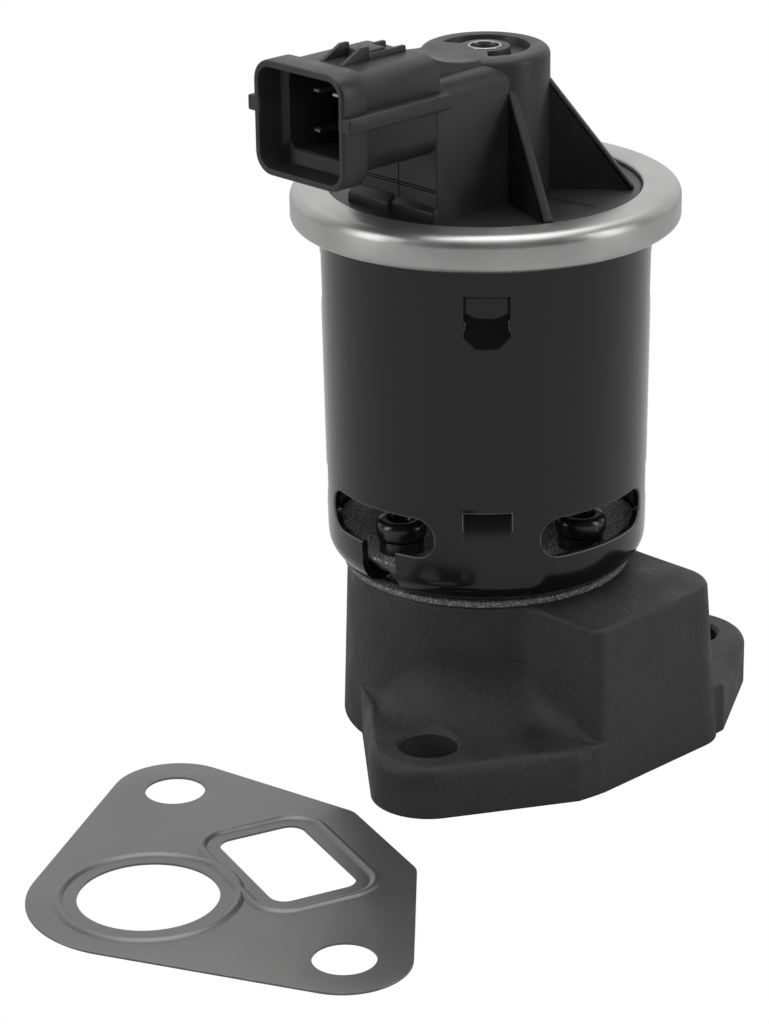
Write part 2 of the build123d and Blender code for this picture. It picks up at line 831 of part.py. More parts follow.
def cap_saddle():
    """Top of the tower, which falls from the shroud to the flat top of the boss."""
    root = tower_top - root_depth
    first_x = shroud_back_x + saddle_length[0]
    second_x = first_x + saddle_length[1]
    side = Polyline(
        (shroud_back_x, 0, root),
        (shroud_back_x, 0, shroud_top),
        (first_x, 0, boss_top + saddle_rise[0]),
        (second_x, 0, boss_top + saddle_rise[1]),
        (boss_edge_bevel - boss_r, 0, boss_top),
        (0, 0, boss_top),
        (0, 0, root),
        close=True,
    )
    return extrude(make_face(side), saddle_half_y, both=True)


def make_sensor_cap():
    skirt_r = can_inner_at(can_top) - cap_wall_gap
    cap = disc(can_flange_r, can_top, cap_flange_top)
    cap += disc(ring_opening_r - loose_gap, can_top, disc_level)
    cap += disc(skirt_r, upper_plate_top, can_top)

    root = disc_level - root_depth
    tower = block(tower_left_x, 0, -tower_half_y, tower_half_y, root, tower_top)
    long_top = tower.edges().group_by(Axis.Z)[-1].filter_by(Axis.X)
    tower = fillet(long_top, tower_edge_r)
    tower = fillet(tower.edges().group_by(Axis.X)[0].filter_by(Axis.Z), tower_corner_r)
    boss = disc(boss_r, root, boss_top)
    boss = chamfer(boss.edges().group_by(Axis.Z)[-1], boss_edge_bevel)
    boss += cap_saddle()
    step_top = disc_level + step_height
    step = block(step_left_x, step_right_x, step_split_y, tower_half_y, root, step_top)
    front = step.edges().group_by(Axis.X)[0].group_by(Axis.Z)[-1]
    step = chamfer(front, step_chamfer)
    near_x = step_left_x + step_offset
    near_step = block(near_x, step_right_x, -tower_half_y, step_split_y, root, step_top)
    front = near_step.edges().group_by(Axis.X)[0].group_by(Axis.Z)[-1]
    step += chamfer(front, step_chamfer)
    shroud, cavity = connector_body()
    cap += [tower, boss, step, shroud]
    for angle in rib_angles:
        cap += cap_rib(angle)

    # C-shaped groove round the eyelet, open towards the connector
    slot = extrude(groove_outline(), groove_depth + cut_past)
    cap -= Pos(0, 0, boss_top - groove_depth) * slot
    cap -= disc(eyelet_r + press_gap, boss_top - eyelet_depth, boss_top + cut_past)

    # Sensor chamber, connector cavity and the slots of the blades
    cap -= cavity
    cap -= disc(cavity_r, cavity_floor, cavity_roof)
    cap -= block(cavity_left_x, 0, -cavity_half_y, cavity_half_y, cavity_floor, cavity_roof)
    cap -= disc(bush_r + press_gap, upper_plate_top - cut_past, disc_level)
    for blade in connector_blades():
        cap -= blade
    for side in (-1, 1):
        slot = coil_blade(upper_plate_top - cut_past, disc_level, loose_gap)
        cap -= coil_blade_place(side) * slot
    groove_half = seal_ring_height / 2 + seal_groove_gap
    middle = (can_top + upper_plate_top) / 2
    groove_floor = seal_ring_inner_r() - seal_groove_gap
    cap -= ring(skirt_r + cut_past, groove_floor, middle - groove_half, middle + groove_half)
    return cap


def groove_outline():
    """Ring sector with open ends, for the groove in the top of the boss."""
    outer = CenterArc((0, 0), groove_outer_r, groove_start_angle, groove_sweep_angle)
    inner = CenterArc((0, 0), groove_inner_r, groove_start_angle, groove_sweep_angle)
    first = Line(outer @ 0, inner @ 0)
    last = Line(outer @ 1, inner @ 1)
    return make_face([outer, first, inner, last])


def connector_blades():
    """Blades bent down into the sensor chamber, in an upper row of three and a lower row of two."""
    blades = []
    rows = zip(pin_row_rise, pin_board_distance, pin_drop_length, ((-1, 0, 1), (-1, 1)))
    for rise, distance, drop, columns in rows:
        drop_x = board_x - distance
        for column in columns:
            y = column * pin_pitch
            half = pin_width / 2
            low = plug_axis + rise - pin_thickness / 2
            high = low + pin_thickness
            arm = block(pin_tip_x, drop_x + pin_thickness, y - half, y + half, low, high)
            arm = chamfer(arm.edges().group_by(Axis.X)[0].filter_by(Axis.Y), pin_tip_bevel)
            leg = block(drop_x, drop_x + pin_thickness, y - half, y + half, low - drop, high)
            foot = low - drop
            end_x = board_x - press_gap
            solder_foot = block(drop_x, end_x, y - half, y + half, foot, foot + pin_thickness)
            blades.append(arm + leg + solder_foot)
    return blades


def make_cap_eyelet():
    bottom = boss_top - eyelet_depth
    return ring(eyelet_r, eyelet_bore_r, bottom, boss_top + eyelet_stand)


def make_plunger_bush():
    return ring(bush_r, plunger_r + running_gap, upper_plate_top, upper_plate_top + bush_height)


def make_sensor_plunger():
    rod = disc(plunger_r, stem_top + seat_gap, plunger_head_z)
    head = disc(plunger_head_r, plunger_head_z, plunger_head_z + plunger_head_height)
    tip = disc(plunger_r, plunger_head_z, plunger_head_z + plunger_head_height + plunger_tip_length)
    return rod + head + tip


def make_sensor_wiper():
    """Washer on the plunger head with an arm that reaches to the tracks of the board."""
    low = plunger_head_z + plunger_head_height
    high = low + wiper_thickness
    half = wiper_width / 2
    track = board_x + board_thickness + running_gap
    washer = ring(plunger_head_r, plunger_r + press_gap, low, high)
    arm = block(track, -plunger_head_r + wiper_root, -half, half, low, high)
    finger = block(track, track + wiper_thickness, -half, half, low - wiper_drop, high)
    return washer + arm + finger


def make_track_board():
    half = cavity_half_y - board_gap
    bottom = cavity_floor + board_gap
    return block(board_x, board_x + board_thickness, -half, half, bottom, bottom + board_height)


def make_sensor_spring():
    low = plunger_head_z + plunger_head_height + wiper_thickness
    return coil_spring(sensor_coil_r, sensor_wire_r, low, cavity_roof, sensor_turns)


def seal_ring_inner_r():
    return can_inner_at(can_top) - seal_groove_gap - seal_ring_width


def make_seal_ring():
    """Square-cut sealing ring between the cap skirt and the can wall."""
    middle = (can_top + upper_plate_top) / 2
    half = seal_ring_height / 2
    outer = can_inner_at(can_top) - seal_groove_gap
    return ring(outer, seal_ring_inner_r(), middle - half, middle + half)


def make_flange_gasket():
    """Thin embossed sheet with the flange's outline and a raised bead round each port."""
    sheet = flange_outline(gasket_back_r, gasket_ear_r, gasket_flat_y, gasket_flat_half)
    holes = [Circle(round_port_r), rect_port(0, rect_port_corner_r)]
    for side in (-1, 1):
        holes.append(Pos(side * stud_spacing / 2, stud_line_y) * Circle(gasket_stud_hole_r))
    for hole in holes:
        sheet -= hole
    inner = bead_offset
    outer = bead_offset + bead_width
    inside = Circle(round_port_r + inner) + rect_port(inner, rect_port_corner_r + inner)
    outside = Circle(round_port_r + outer) + rect_port(outer, rect_port_corner_r + outer)
    band = outside - inside
    edge = gasket_thickness
    outer -= edge
    inner += edge
    wide = Circle(round_port_r + outer) + rect_port(outer, rect_port_corner_r + outer)
    narrow = Circle(round_port_r + inner) + rect_port(inner, rect_port_corner_r + inner)
    hollow = wide - narrow
    plate = extrude(sheet, gasket_thickness)
    plate += extrude(band, gasket_thickness + bead_height)
    plate -= Pos(0, 0, -cut_past) * extrude(hollow, bead_height + cut_past)
    return Pos(gasket_x, gasket_y, 0) * Rot(0, 0, gasket_turn_angle) * plate


parts = {
    "valve_base": make_valve_base(),
    "valve_seat": make_valve_seat(),
    "valve_poppet": make_valve_poppet(),
    "guide_carrier": make_guide_carrier(),
    "stem_guide": make_stem_guide(),
    "deposit_shield": make_deposit_shield(),
    "stem_seal": make_stem_seal(),
    "base_gasket": make_base_gasket(),
    "heat_insulator": make_heat_insulator(),
    "housing_can": make_housing_can(),
    "can_screws": make_can_screws(),
    "lower_plate": make_lower_plate(),
    "guide_sleeve": make_guide_sleeve(),
    "armature": make_armature(),
    "stem_nut": make_stem_nut(),
    "upper_pole": make_upper_pole(),
    "return_spring": make_return_spring(),
    "bobbin": make_bobbin(),
    "coil_winding": make_coil_winding(),
    "coil_blades": make_coil_blades(),
    "crimp_ring": make_crimp_ring(),
    "sensor_cap": make_sensor_cap(),
    "cap_eyelet": make_cap_eyelet(),
    "connector_blades": Compound(children=connector_blades()),
    "plunger_bush": make_plunger_bush(),
    "sensor_plunger": make_sensor_plunger(),
    "sensor_wiper": make_sensor_wiper(),
    "sensor_spring": make_sensor_spring(),
    "track_board": make_track_board(),
    "seal_ring": make_seal_ring(),
    "flange_gasket": make_flange_gasket(),
}

for name, shape in parts.items():
    export_step(shape, f"parts/{name}.step")
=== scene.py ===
import bmesh
import bpy
import numpy as np
from mathutils import Matrix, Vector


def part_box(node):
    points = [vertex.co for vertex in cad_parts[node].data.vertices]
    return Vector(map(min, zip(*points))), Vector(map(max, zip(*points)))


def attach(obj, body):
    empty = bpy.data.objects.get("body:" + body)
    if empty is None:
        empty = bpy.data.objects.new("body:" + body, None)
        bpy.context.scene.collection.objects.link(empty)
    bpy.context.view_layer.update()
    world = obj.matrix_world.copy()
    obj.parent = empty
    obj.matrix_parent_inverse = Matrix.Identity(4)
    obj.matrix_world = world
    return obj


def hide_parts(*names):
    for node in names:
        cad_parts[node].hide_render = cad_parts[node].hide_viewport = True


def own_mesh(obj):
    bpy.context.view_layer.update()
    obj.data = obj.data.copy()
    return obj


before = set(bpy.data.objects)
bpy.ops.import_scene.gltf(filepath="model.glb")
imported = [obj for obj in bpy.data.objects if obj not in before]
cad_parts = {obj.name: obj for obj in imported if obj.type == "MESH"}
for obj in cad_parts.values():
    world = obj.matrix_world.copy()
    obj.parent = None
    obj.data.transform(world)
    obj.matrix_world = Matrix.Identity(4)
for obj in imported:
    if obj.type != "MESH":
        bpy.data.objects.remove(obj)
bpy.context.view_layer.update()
print("stage: frame loaded")

mm = 0.001
fullTurn = 2 * np.pi


# several values of a piece's dictionary at once
def take(values, *keys):
    return [values[key] for key in keys]


# mesh helpers, all sizes in mm
def meshFromArrays(name, verts, faces, smoothAngle=34, recalc=True):
    mesh = bpy.data.meshes.new(name)
    mesh.from_pydata((np.asarray(verts) * mm).tolist(), [], faces)
    bm = bmesh.new()
    bm.from_mesh(mesh)
    bmesh.ops.remove_doubles(bm, verts=bm.verts, dist=2e-7)
    bmesh.ops.dissolve_degenerate(bm, edges=bm.edges, dist=1e-7)
    if recalc:
        bmesh.ops.recalc_face_normals(bm, faces=bm.faces)
    bm.to_mesh(mesh)
    bm.free()
    mesh.shade_smooth()
    mesh.set_sharp_from_angle(angle=np.radians(smoothAngle))
    obj = bpy.data.objects.new(name, mesh)
    bpy.context.collection.objects.link(obj)
    return obj


# quads between neighbouring rows and columns of a grid of vertex numbers
def gridFaces(rows, cols, closeRows=False, closeCols=False):
    index = np.arange(rows * cols).reshape(rows, cols)
    if closeRows:
        index = np.vstack([index, index[:1]])
    if closeCols:
        index = np.hstack([index, index[:, :1]])
    quads = np.stack([index[:-1, :-1], index[1:, :-1], index[1:, 1:], index[:-1, 1:]], axis=-1)
    return quads.reshape(-1, 4).tolist()


# surface through a grid of points, rows by columns
def gridMesh(name, points, closeRows=False, closeCols=False, **options):
    faces = gridFaces(*points.shape[:2], closeRows, closeCols)
    return meshFromArrays(name, points.reshape(-1, 3), faces, **options)


# stack of equal loops joined side by side, with flat ends
def skinLoops(name, loops, **options):
    loops = np.asarray(loops, float)
    rows, cols = loops.shape[:2]
    faces = gridFaces(rows, cols, closeCols=True)
    faces.append(list(range(cols))[::-1])
    faces.append(list(range((rows - 1) * cols, rows * cols)))
    return meshFromArrays(name, loops.reshape(-1, 3), faces, **options)


# points about the valve axis: radius times cosine, radius times sine, height
def aboutAxis(radius, angle, height):
    radius, angle, height = np.broadcast_arrays(radius, angle, height)
    return np.stack([radius * np.cos(angle), radius * np.sin(angle), height], axis=-1)


# profile of radius and height turned about the valve axis
def turnedProfile(profile, steps):
    radius, height = np.asarray(profile, float).T
    return aboutAxis(radius, np.linspace(0, fullTurn, steps, endpoint=False)[:, None], height)


def lathe(name, profile, steps=192):
    return gridMesh(name, turnedProfile(profile, steps), True, True)


# polygon with each corner turned into an arc: the arc's centre lies on the corner's bisector, and is the
# radius over the sine of half the angle away
def roundedLoop(corners, radii, steps=7):
    corners = np.asarray(corners, float)
    radii = np.broadcast_to(np.asarray(radii, float), len(corners))
    back = np.roll(corners, 1, axis=0) - corners
    ahead = np.roll(corners, -1, axis=0) - corners
    back /= np.linalg.norm(back, axis=1)[:, None]
    ahead /= np.linalg.norm(ahead, axis=1)[:, None]
    half = np.arccos(np.clip((back * ahead).sum(1), -1, 1)) / 2
    reach = (radii / np.tan(half))[:, None]
    middle = back + ahead
    middle /= np.linalg.norm(middle, axis=1)[:, None]
    centre = corners + middle * (radii / np.sin(half))[:, None]
    fromPoint = corners + back * reach - centre
    toPoint = corners + ahead * reach - centre
    start = np.arctan2(fromPoint[:, 1], fromPoint[:, 0])
    sweep = np.arctan2(toPoint[:, 1], toPoint[:, 0]) - start
    sweep = (sweep + np.pi) % fullTurn - np.pi
    angle = start[:, None] + sweep[:, None] * np.linspace(0, 1, steps)
    arcs = centre[:, None] + radii[:, None, None] * np.stack([np.cos(angle), np.sin(angle)], axis=-1)
    return arcs.reshape(-1, 2)


# rounded box about the middle line, from low to high
def boxLoop(half, low, high, radius, steps=7):
    return roundedLoop([(-half, low), (half, low), (half, high), (-half, high)], radius, steps)


def circleLoop(radius, x=0.0, y=0.0, steps=96):
    angle = np.linspace(0, fullTurn, steps, endpoint=False)
    return np.column_stack([radius * np.cos(angle) + x, radius * np.sin(angle) + y])


# loop moved inwards along its own normals, where a normal is the sum of its two neighbouring edges, turned
# outwards
def insetLoop(loop, amount):
    ahead = np.roll(loop, -1, axis=0) - loop
    back = loop - np.roll(loop, 1, axis=0)
    ahead = ahead / np.maximum(np.linalg.norm(ahead, axis=1), 1e-9)[:, None]
    back = back / np.maximum(np.linalg.norm(back, axis=1), 1e-9)[:, None]
    along = ahead + back
    along /= np.linalg.norm(along, axis=1)[:, None]
    outward = np.stack([along[:, 1], -along[:, 0]], axis=-1)
    return loop - outward * amount


# loops of equal length, each at its own level
def atLevels(levels):
    return np.array([np.column_stack([loop, np.full(len(loop), z)]) for loop, z in levels])


# loop carried between two levels with quarter-round edges at both ends
def prism(name, loop, low, high, edgeLow, edgeHigh, axis="z", steps=4, place=None):
    bend = np.linspace(0, np.pi / 2, steps)
    levels = [(edgeLow * (1 - np.sin(b)), low + edgeLow * (1 - np.cos(b))) for b in bend]
    levels += [(edgeHigh * (1 - np.sin(b)), high - edgeHigh * (1 - np.cos(b))) for b in bend[::-1]]
    order = {"x": [2, 0, 1], "y": [0, 2, 1], "z": [0, 1, 2]}[axis]
    rings = atLevels([(insetLoop(loop, inset), level) for inset, level in levels])[..., order]
    return skinLoops(name, rings if place is None else place(rings))


# turn about the valve axis, then a move
def turnedAbout(angleDegrees, shiftX=0.0, shiftY=0.0):
    c, s = np.cos(np.radians(angleDegrees)), np.sin(np.radians(angleDegrees))

    def place(points):
        x = points[..., 0] * c - points[..., 1] * s + shiftX
        y = points[..., 0] * s + points[..., 1] * c + shiftY
        return np.stack([x, y, points[..., 2]], axis=-1)

    return place


# object less each of its cutters, which are then removed
def cutWith(obj, cutters, smoothAngle=34):
    for cutter in cutters:
        mod = obj.modifiers.new("cut", "BOOLEAN")
        mod.object = cutter
        mod.operation = "DIFFERENCE"
        mod.solver = "EXACT"
    bake(obj, smoothAngle)
    for cutter in cutters:
        bpy.data.objects.remove(cutter, do_unlink=True)


# modifiers turned into plain geometry
def bake(obj, smoothAngle):
    graph = bpy.context.evaluated_depsgraph_get()
    mesh = bpy.data.meshes.new_from_object(obj.evaluated_get(graph))
    obj.modifiers.clear()
    obj.data = mesh
    mesh.shade_smooth()
    mesh.set_sharp_from_angle(angle=np.radians(smoothAngle))


def joinPieces(name, pieces):
    bm = bmesh.new()
    for piece in pieces:
        bm.from_mesh(piece.data)
    mesh = bpy.data.meshes.new(name)
    bm.to_mesh(mesh)
    bm.free()
    for piece in pieces:
        bpy.data.objects.remove(piece, do_unlink=True)
    obj = bpy.data.objects.new(name, mesh)
    bpy.context.collection.objects.link(obj)
    return obj


# what every finished piece is told: its material and body, and the nodes it stands for
def handOver(obj, material, replaced):
    obj.data.materials.clear()
    obj.data.materials.append(material)
    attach(obj, "housing")
    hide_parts(*replaced)


# noise on object coordinates
def noiseOn(tree, place, scale, detail):
    noise = tree.nodes.new("ShaderNodeTexNoise")
    noise.inputs["Scale"].default_value = scale
    noise.inputs["Detail"].default_value = detail
    tree.links.new(place.outputs["Object"], noise.inputs["Vector"])
    return noise.outputs["Fac"]


# value carried evenly from one range to another
def rangeOn(tree, value, fromLow, fromHigh, toLow, toHigh):
    ramp = tree.nodes.new("ShaderNodeMapRange")
    limits = {"From Min": fromLow, "From Max": fromHigh, "To Min": toLow, "To Max": toHigh}
    for name, limit in limits.items():
        ramp.inputs[name].default_value = limit
    tree.links.new(value, ramp.inputs["Value"])
    return ramp.outputs["Result"]


# colour and roughness are scaled by a slow noise, and the peaks of a fast noise are added to the colour
def addMottle(tree, place, shader, look):
    slow = noiseOn(tree, place, look["mottleScale"], 5)
    share = rangeOn(tree, slow, 0.3, 0.7, 1 - look["mottle"], 1 + look["mottle"])
    tint = tree.nodes.new("ShaderNodeVectorMath")
    tint.operation = "SCALE"
    tint.inputs[0].default_value = look["color"]
    tree.links.new(share, tint.inputs["Scale"])
    tone = tint.outputs["Vector"]
    if look.get("specks"):
        fast = noiseOn(tree, place, look["speckScale"], 1)
        peaks = rangeOn(tree, fast, look["speckFrom"], look["speckFrom"] + 0.1, 0, look["specks"])
        total = tree.nodes.new("ShaderNodeVectorMath")
        total.operation = "ADD"
        tree.links.new(tone, total.inputs[0])
        tree.links.new(peaks, total.inputs[1])
        tone = total.outputs["Vector"]
    tree.links.new(tone, shader.inputs["Base Color"])
    rough = tree.nodes.new("ShaderNodeMath")
    rough.operation = "MULTIPLY"
    rough.inputs[1].default_value = look["rough"]
    tree.links.new(share, rough.inputs[0])
    tree.links.new(rough.outputs["Value"], shader.inputs["Roughness"])


# each layer of bumps is a noise of its own, laid on the normal of the layer before
def addBumps(tree, place, shader, look):
    normal = None
    for scale, depth, detail in look["bumps"]:
        bump = tree.nodes.new("ShaderNodeBump")
        bump.inputs["Strength"].default_value = look.get("bumpStrength", 1.0)
        bump.inputs["Distance"].default_value = depth * mm
        tree.links.new(noiseOn(tree, place, scale, detail), bump.inputs["Height"])
        if normal:
            tree.links.new(normal, bump.inputs["Normal"])
        normal = bump.outputs["Normal"]
    tree.links.new(normal, shader.inputs["Normal"])


# plain and mottled surfaces from one table of looks
def material(name, look):
    mat = bpy.data.materials.new(name)
    mat.use_nodes = True
    tree = mat.node_tree
    shader = tree.nodes["Principled BSDF"]
    shader.inputs["Base Color"].default_value = (*look["color"], 1)
    shader.inputs["Metallic"].default_value = look.get("metal", 0.0)
    shader.inputs["Roughness"].default_value = look["rough"]
    shader.inputs["Specular IOR Level"].default_value = look.get("specular", 0.5)
    place = tree.nodes.new("ShaderNodeTexCoord")
    if "mottle" in look:
        addMottle(tree, place, shader, look)
    if "bumps" in look:
        addBumps(tree, place, shader, look)
    return mat


# bumps are triples of noise scale, depth in mm and detail
looks = {
    "cast": {"color": (0.017, 0.017, 0.0173), "rough": 0.6, "specular": 0.3, "mottle": 0.2,
             "mottleScale": 150, "bumps": ((900, 0.2, 3), (2600, 0.08, 2)), "bumpStrength": 0.8,
             "specks": 0.03, "speckScale": 3900, "speckFrom": 0.64},
    "rim": {"color": (0.055, 0.055, 0.056), "rough": 0.6, "mottle": 0.4, "mottleScale": 900,
            "bumps": ((2200, 0.3, 3),), "specks": 0.16, "speckScale": 3400, "speckFrom": 0.53},
    # the insulator's dark colour is partly its own and partly painted shade for the shadow that falls on it
    # inside the can
    "insulator": {"color": (0.06, 0.06, 0.061), "rough": 0.6, "mottle": 0.4, "mottleScale": 1400,
                  "bumps": ((1800, 0.3, 3),), "specks": 0.28, "speckScale": 3400, "speckFrom": 0.53},
    "can": {"color": (0.004, 0.004, 0.0042), "rough": 0.13, "specular": 0.34},
    # painted highlight for the can's window bevels and dimple rims
    "paintedEdgeHighlight": {"color": (0.065, 0.065, 0.065), "rough": 0.45},
    "plastic": {"color": (0.012, 0.012, 0.0124), "rough": 0.45, "specular": 0.34, "mottle": 0.15,
                "mottleScale": 220, "bumps": ((700, 0.03, 3),)},
    "ringSteel": {"color": (0.36, 0.36, 0.357), "metal": 0.9, "rough": 0.37, "mottle": 0.14,
                  "mottleScale": 90, "bumps": ((260, 0.04, 3),)},
    "gasketSteel": {"color": (0.122, 0.122, 0.121), "metal": 0.7, "rough": 0.36, "mottle": 0.08,
                    "mottleScale": 40, "bumps": ((120, 0.03, 2),)},
    "screw": {"color": (0.005, 0.005, 0.005), "rough": 0.26},
    "pin": {"color": (0.62, 0.6, 0.56), "metal": 1.0, "rough": 0.28},
    "steel": {"color": (0.5, 0.5, 0.5), "metal": 1.0, "rough": 0.34},
    "eyelet": {"color": (0.3, 0.3, 0.295), "metal": 1.0, "rough": 0.35},
    "copper": {"color": (0.6, 0.26, 0.12), "metal": 1.0, "rough": 0.35},
    "bronze": {"color": (0.5, 0.36, 0.18), "metal": 1.0, "rough": 0.45},
    "dark": {"color": (0.03, 0.03, 0.03), "rough": 0.6},
    "bobbin": {"color": (0.45, 0.43, 0.38), "rough": 0.5},
    "board": {"color": (0.04, 0.14, 0.07), "rough": 0.4},
}
mats = {name: material(name, look) for name, look in looks.items()}

# looks of the nodes that show their own solids
cadLooks = {
    "steel": ("valve_seat", "valve_poppet", "guide_carrier", "deposit_shield", "lower_plate", "armature",
              "stem_nut", "upper_pole", "sensor_plunger"),
    "bronze": ("stem_guide", "guide_sleeve", "plunger_bush"), "dark": ("stem_seal", "seal_ring"),
    "pin": ("coil_blades", "connector_blades", "sensor_wiper"), "insulator": ("heat_insulator",),
    "bobbin": ("bobbin",), "copper": ("coil_winding",), "board": ("track_board",),
}
for look, nodes in cadLooks.items():
    for node in nodes:
        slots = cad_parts[node].data.materials
        slots.clear()
        slots.append(mats[look])
print("stage: materials")


# cast base: a turned body with a port block, standing in a flange with two ears
casting = {
    "height": 27.0, "footR": 23.8, "topR": 22.8, "blockLeft": -12.9, "blockRight": 19.4,
    "blockFront": -37.2, "blockBack": 2.0, "blockDraft": 1.4, "leftCornerR": 1.6, "rightCornerR": 6.5,
    "backCornerR": 1.0, "joinWidth": 1.2, "bodyEdge": 0.9, "backR": 21.5, "earR": 9.3, "studX": 30.8,
    "studY": -17.5,
    "corners": ((-16.0, -35.3, 1.2), (-12.4, -36.3, 0.8), (18.7, -33.9, 1.5), (30.5, -15.7, 9.2)),
    "flangeTop": 8.5, "edgeTop": 2.0, "edgeShare": 0.45, "flareR": 9.0, "flareShare": 0.85, "flareBlur": 13.0,
    "studHoleR": 4.6, "studHoleTop": 9.0, "studHoleMouth": 1.0,
}


# distance from the centre to a tangent hull of circles: for every normal direction the hull's support is the
# largest of centre along that normal plus radius, and the nearest support line along a ray ends the ray
def hullRadius(angle, circles):
    normal = np.linspace(0, fullTurn, 2880, endpoint=False)
    support = np.max([x * np.cos(normal) + y * np.sin(normal) + r for x, y, r in circles], axis=0)
    facing = np.cos(angle[:, None] - normal)
    grazing = 0.05
    return np.where(facing > grazing, support / np.maximum(facing, grazing), 1e9).min(axis=1)


# circles of a flange outline, as x, y and radius, from the values that casting and gasket share
def outlineCircles(values):
    studX, studY, earR = take(values, "studX", "studY", "earR")
    return [(0, 0, values["backR"]), (-studX, studY, earR), (studX, studY, earR), *values["corners"]]


# distance from the centre to a loop that every ray from the centre meets once
def loopRadius(angle, loop):
    loopAngle = np.arctan2(loop[:, 1], loop[:, 0]) % fullTurn
    order = np.argsort(loopAngle)
    around = np.concatenate([loopAngle[order] - fullTurn, loopAngle[order], loopAngle[order] + fullTurn])
    distance = np.tile(np.linalg.norm(loop[order], axis=1), 3)
    return np.interp(angle % fullTurn, around, distance)


# larger of two lengths, blended where they are nearly equal: width times the log of the summed exponentials
def softMax(a, b, width):
    return width * np.logaddexp(a / width, b / width)


# the same loop with points at even distances along it
def denseLoop(loop, spacing=0.25):
    closed = np.vstack([loop, loop[:1]])
    run = np.concatenate([[0], np.cumsum(np.linalg.norm(np.diff(closed, axis=0), axis=1))])
    at = np.arange(0, run[-1], spacing)
    return np.column_stack([np.interp(at, run, closed[:, k]) for k in (0, 1)])


# distance from the axis to the body's wall: a tapered circle blended with the tapered port block
def castRadius(angle, z):
    share = z / casting["height"]
    circle = casting["footR"] + (casting["topR"] - casting["footR"]) * share
    drawn = casting["blockDraft"] * share
    left, right = casting["blockLeft"] + drawn, casting["blockRight"] - drawn
    front, back = casting["blockFront"] + drawn, casting["blockBack"]
    radii = take(casting, "leftCornerR", "rightCornerR", "backCornerR", "backCornerR")
    block = denseLoop(roundedLoop([(left, front), (right, front), (right, back), (left, back)], radii, 12))
    return softMax(np.full_like(angle, circle), loopRadius(angle, block), casting["joinWidth"])


# width of the hollow sweep between wall and flange: what the ledge leaves room for, averaged over the angle
# with a bell-shaped weight
def flareWidth(angle, room):
    reach = np.abs((np.degrees(angle[:, None] - angle) + 180) % 360 - 180)
    weight = np.exp(-(reach / casting["flareBlur"]) ** 2) * np.gradient(angle)
    wanted = np.minimum(room, casting["flareR"])
    flare = (weight * wanted).sum(axis=1) / weight.sum(axis=1)
    return np.minimum(flare, room)


# grid of angle by profile: under the flange, up its side, over its rounded edge and ledge, up the flare as a
# quarter ellipse, and up the wall to the rounded top
def buildCasting():
    angle = np.radians(np.concatenate([np.arange(-20, 200, 0.5), np.arange(200, 340, 0.2)]))
    outline = hullRadius(angle, outlineCircles(casting))
    top, height = casting["flangeTop"], casting["height"]
    atFoot, atTop = castRadius(angle, 0.0), castRadius(angle, height)

    def wall(z):
        return atFoot + (atTop - atFoot) * z / height

    ledge = np.maximum(outline - wall(top), 0)
    edge = np.clip(ledge * casting["edgeShare"], 0, casting["edgeTop"])
    flare = flareWidth(angle, np.maximum((ledge - edge) * casting["flareShare"], 0))
    level = 0 * angle
    columns = [(level, level), (atFoot * 0.5, level)]
    for share in (0, 0.3, 0.65, 1):
        z = (top - edge) * share
        columns.append((np.maximum(wall(z), outline), z))
    side = np.maximum(wall(top), outline)
    for bend in np.linspace(0, np.pi / 2, 9)[1:]:
        columns.append((side - edge * (1 - np.cos(bend)), top - edge * (1 - np.sin(bend))))
    inner = side - edge
    outerFlare = wall(top) + flare
    for share in (0.25, 0.5, 0.75, 1):
        columns.append((inner + (outerFlare - inner) * share, top + level))
    for bend in np.linspace(0, np.pi / 2, 14)[1:]:
        z = top + flare * (1 - np.cos(bend))
        columns.append((wall(z) + flare * (1 - np.sin(bend)), z))
    bodyEdge = casting["bodyEdge"]
    wallStart, wallEnd = top + flare, height - bodyEdge
    for share in np.linspace(0, 1, 12)[1:]:
        z = wallStart + (wallEnd - wallStart) * share
        columns.append((wall(z), z))
    for bend in np.linspace(0, np.pi / 2, 7)[1:]:
        radius = wall(wallEnd) - bodyEdge * (1 - np.cos(bend))
        columns.append((radius, wallEnd + bodyEdge * np.sin(bend) + level))
    columns.append((level, height + level))
    radius, heights = np.array(columns).transpose(1, 2, 0)
    return gridMesh("cast_body", aboutAxis(radius, angle[:, None], heights), closeRows=True, smoothAngle=32)


# passages inside the casting: the rectangular port narrows to a duct that turns to the stepped round bore,
# whose steps are pairs of radius and top level
passages = {
    "half": 11.3, "front": -29.8, "back": -15.8, "cornerR": 2.5, "ductLeft": -7.6, "ductFrom": 8.5,
    "runFront": -16.5, "runBack": -6.0, "runLow": 13.2, "runTop": 19.6, "runCornerR": 0.5, "boreLow": -1.0,
    "boreSteps": ((10.7, 9.5), (11.3, 13.2), (12.4, 21.3), (9.52, 24.8), (11.42, 28.0)),
}


# each step goes from the level of the one before to its own top
def steppedBore():
    profile = [(0, passages["boreLow"])]
    for radius, top in passages["boreSteps"]:
        profile += [(radius, profile[-1][1]), (radius, top)]
    return lathe("cutter", profile + [(0, profile[-1][1])], steps=96)


def ductLoop(front, back, cornerR):
    left, right = passages["ductLeft"], passages["half"]
    return roundedLoop([(left, front), (right, front), (right, back), (left, back)], cornerR)


def studHole(x, y):
    radius, top, mouth = take(casting, "studHoleR", "studHoleTop", "studHoleMouth")
    loop, wide = circleLoop(radius, x, y), circleLoop(radius + mouth, x, y)
    return skinLoops("cutter", atLevels([(loop, -1), (loop, top - mouth), (wide, top)]))


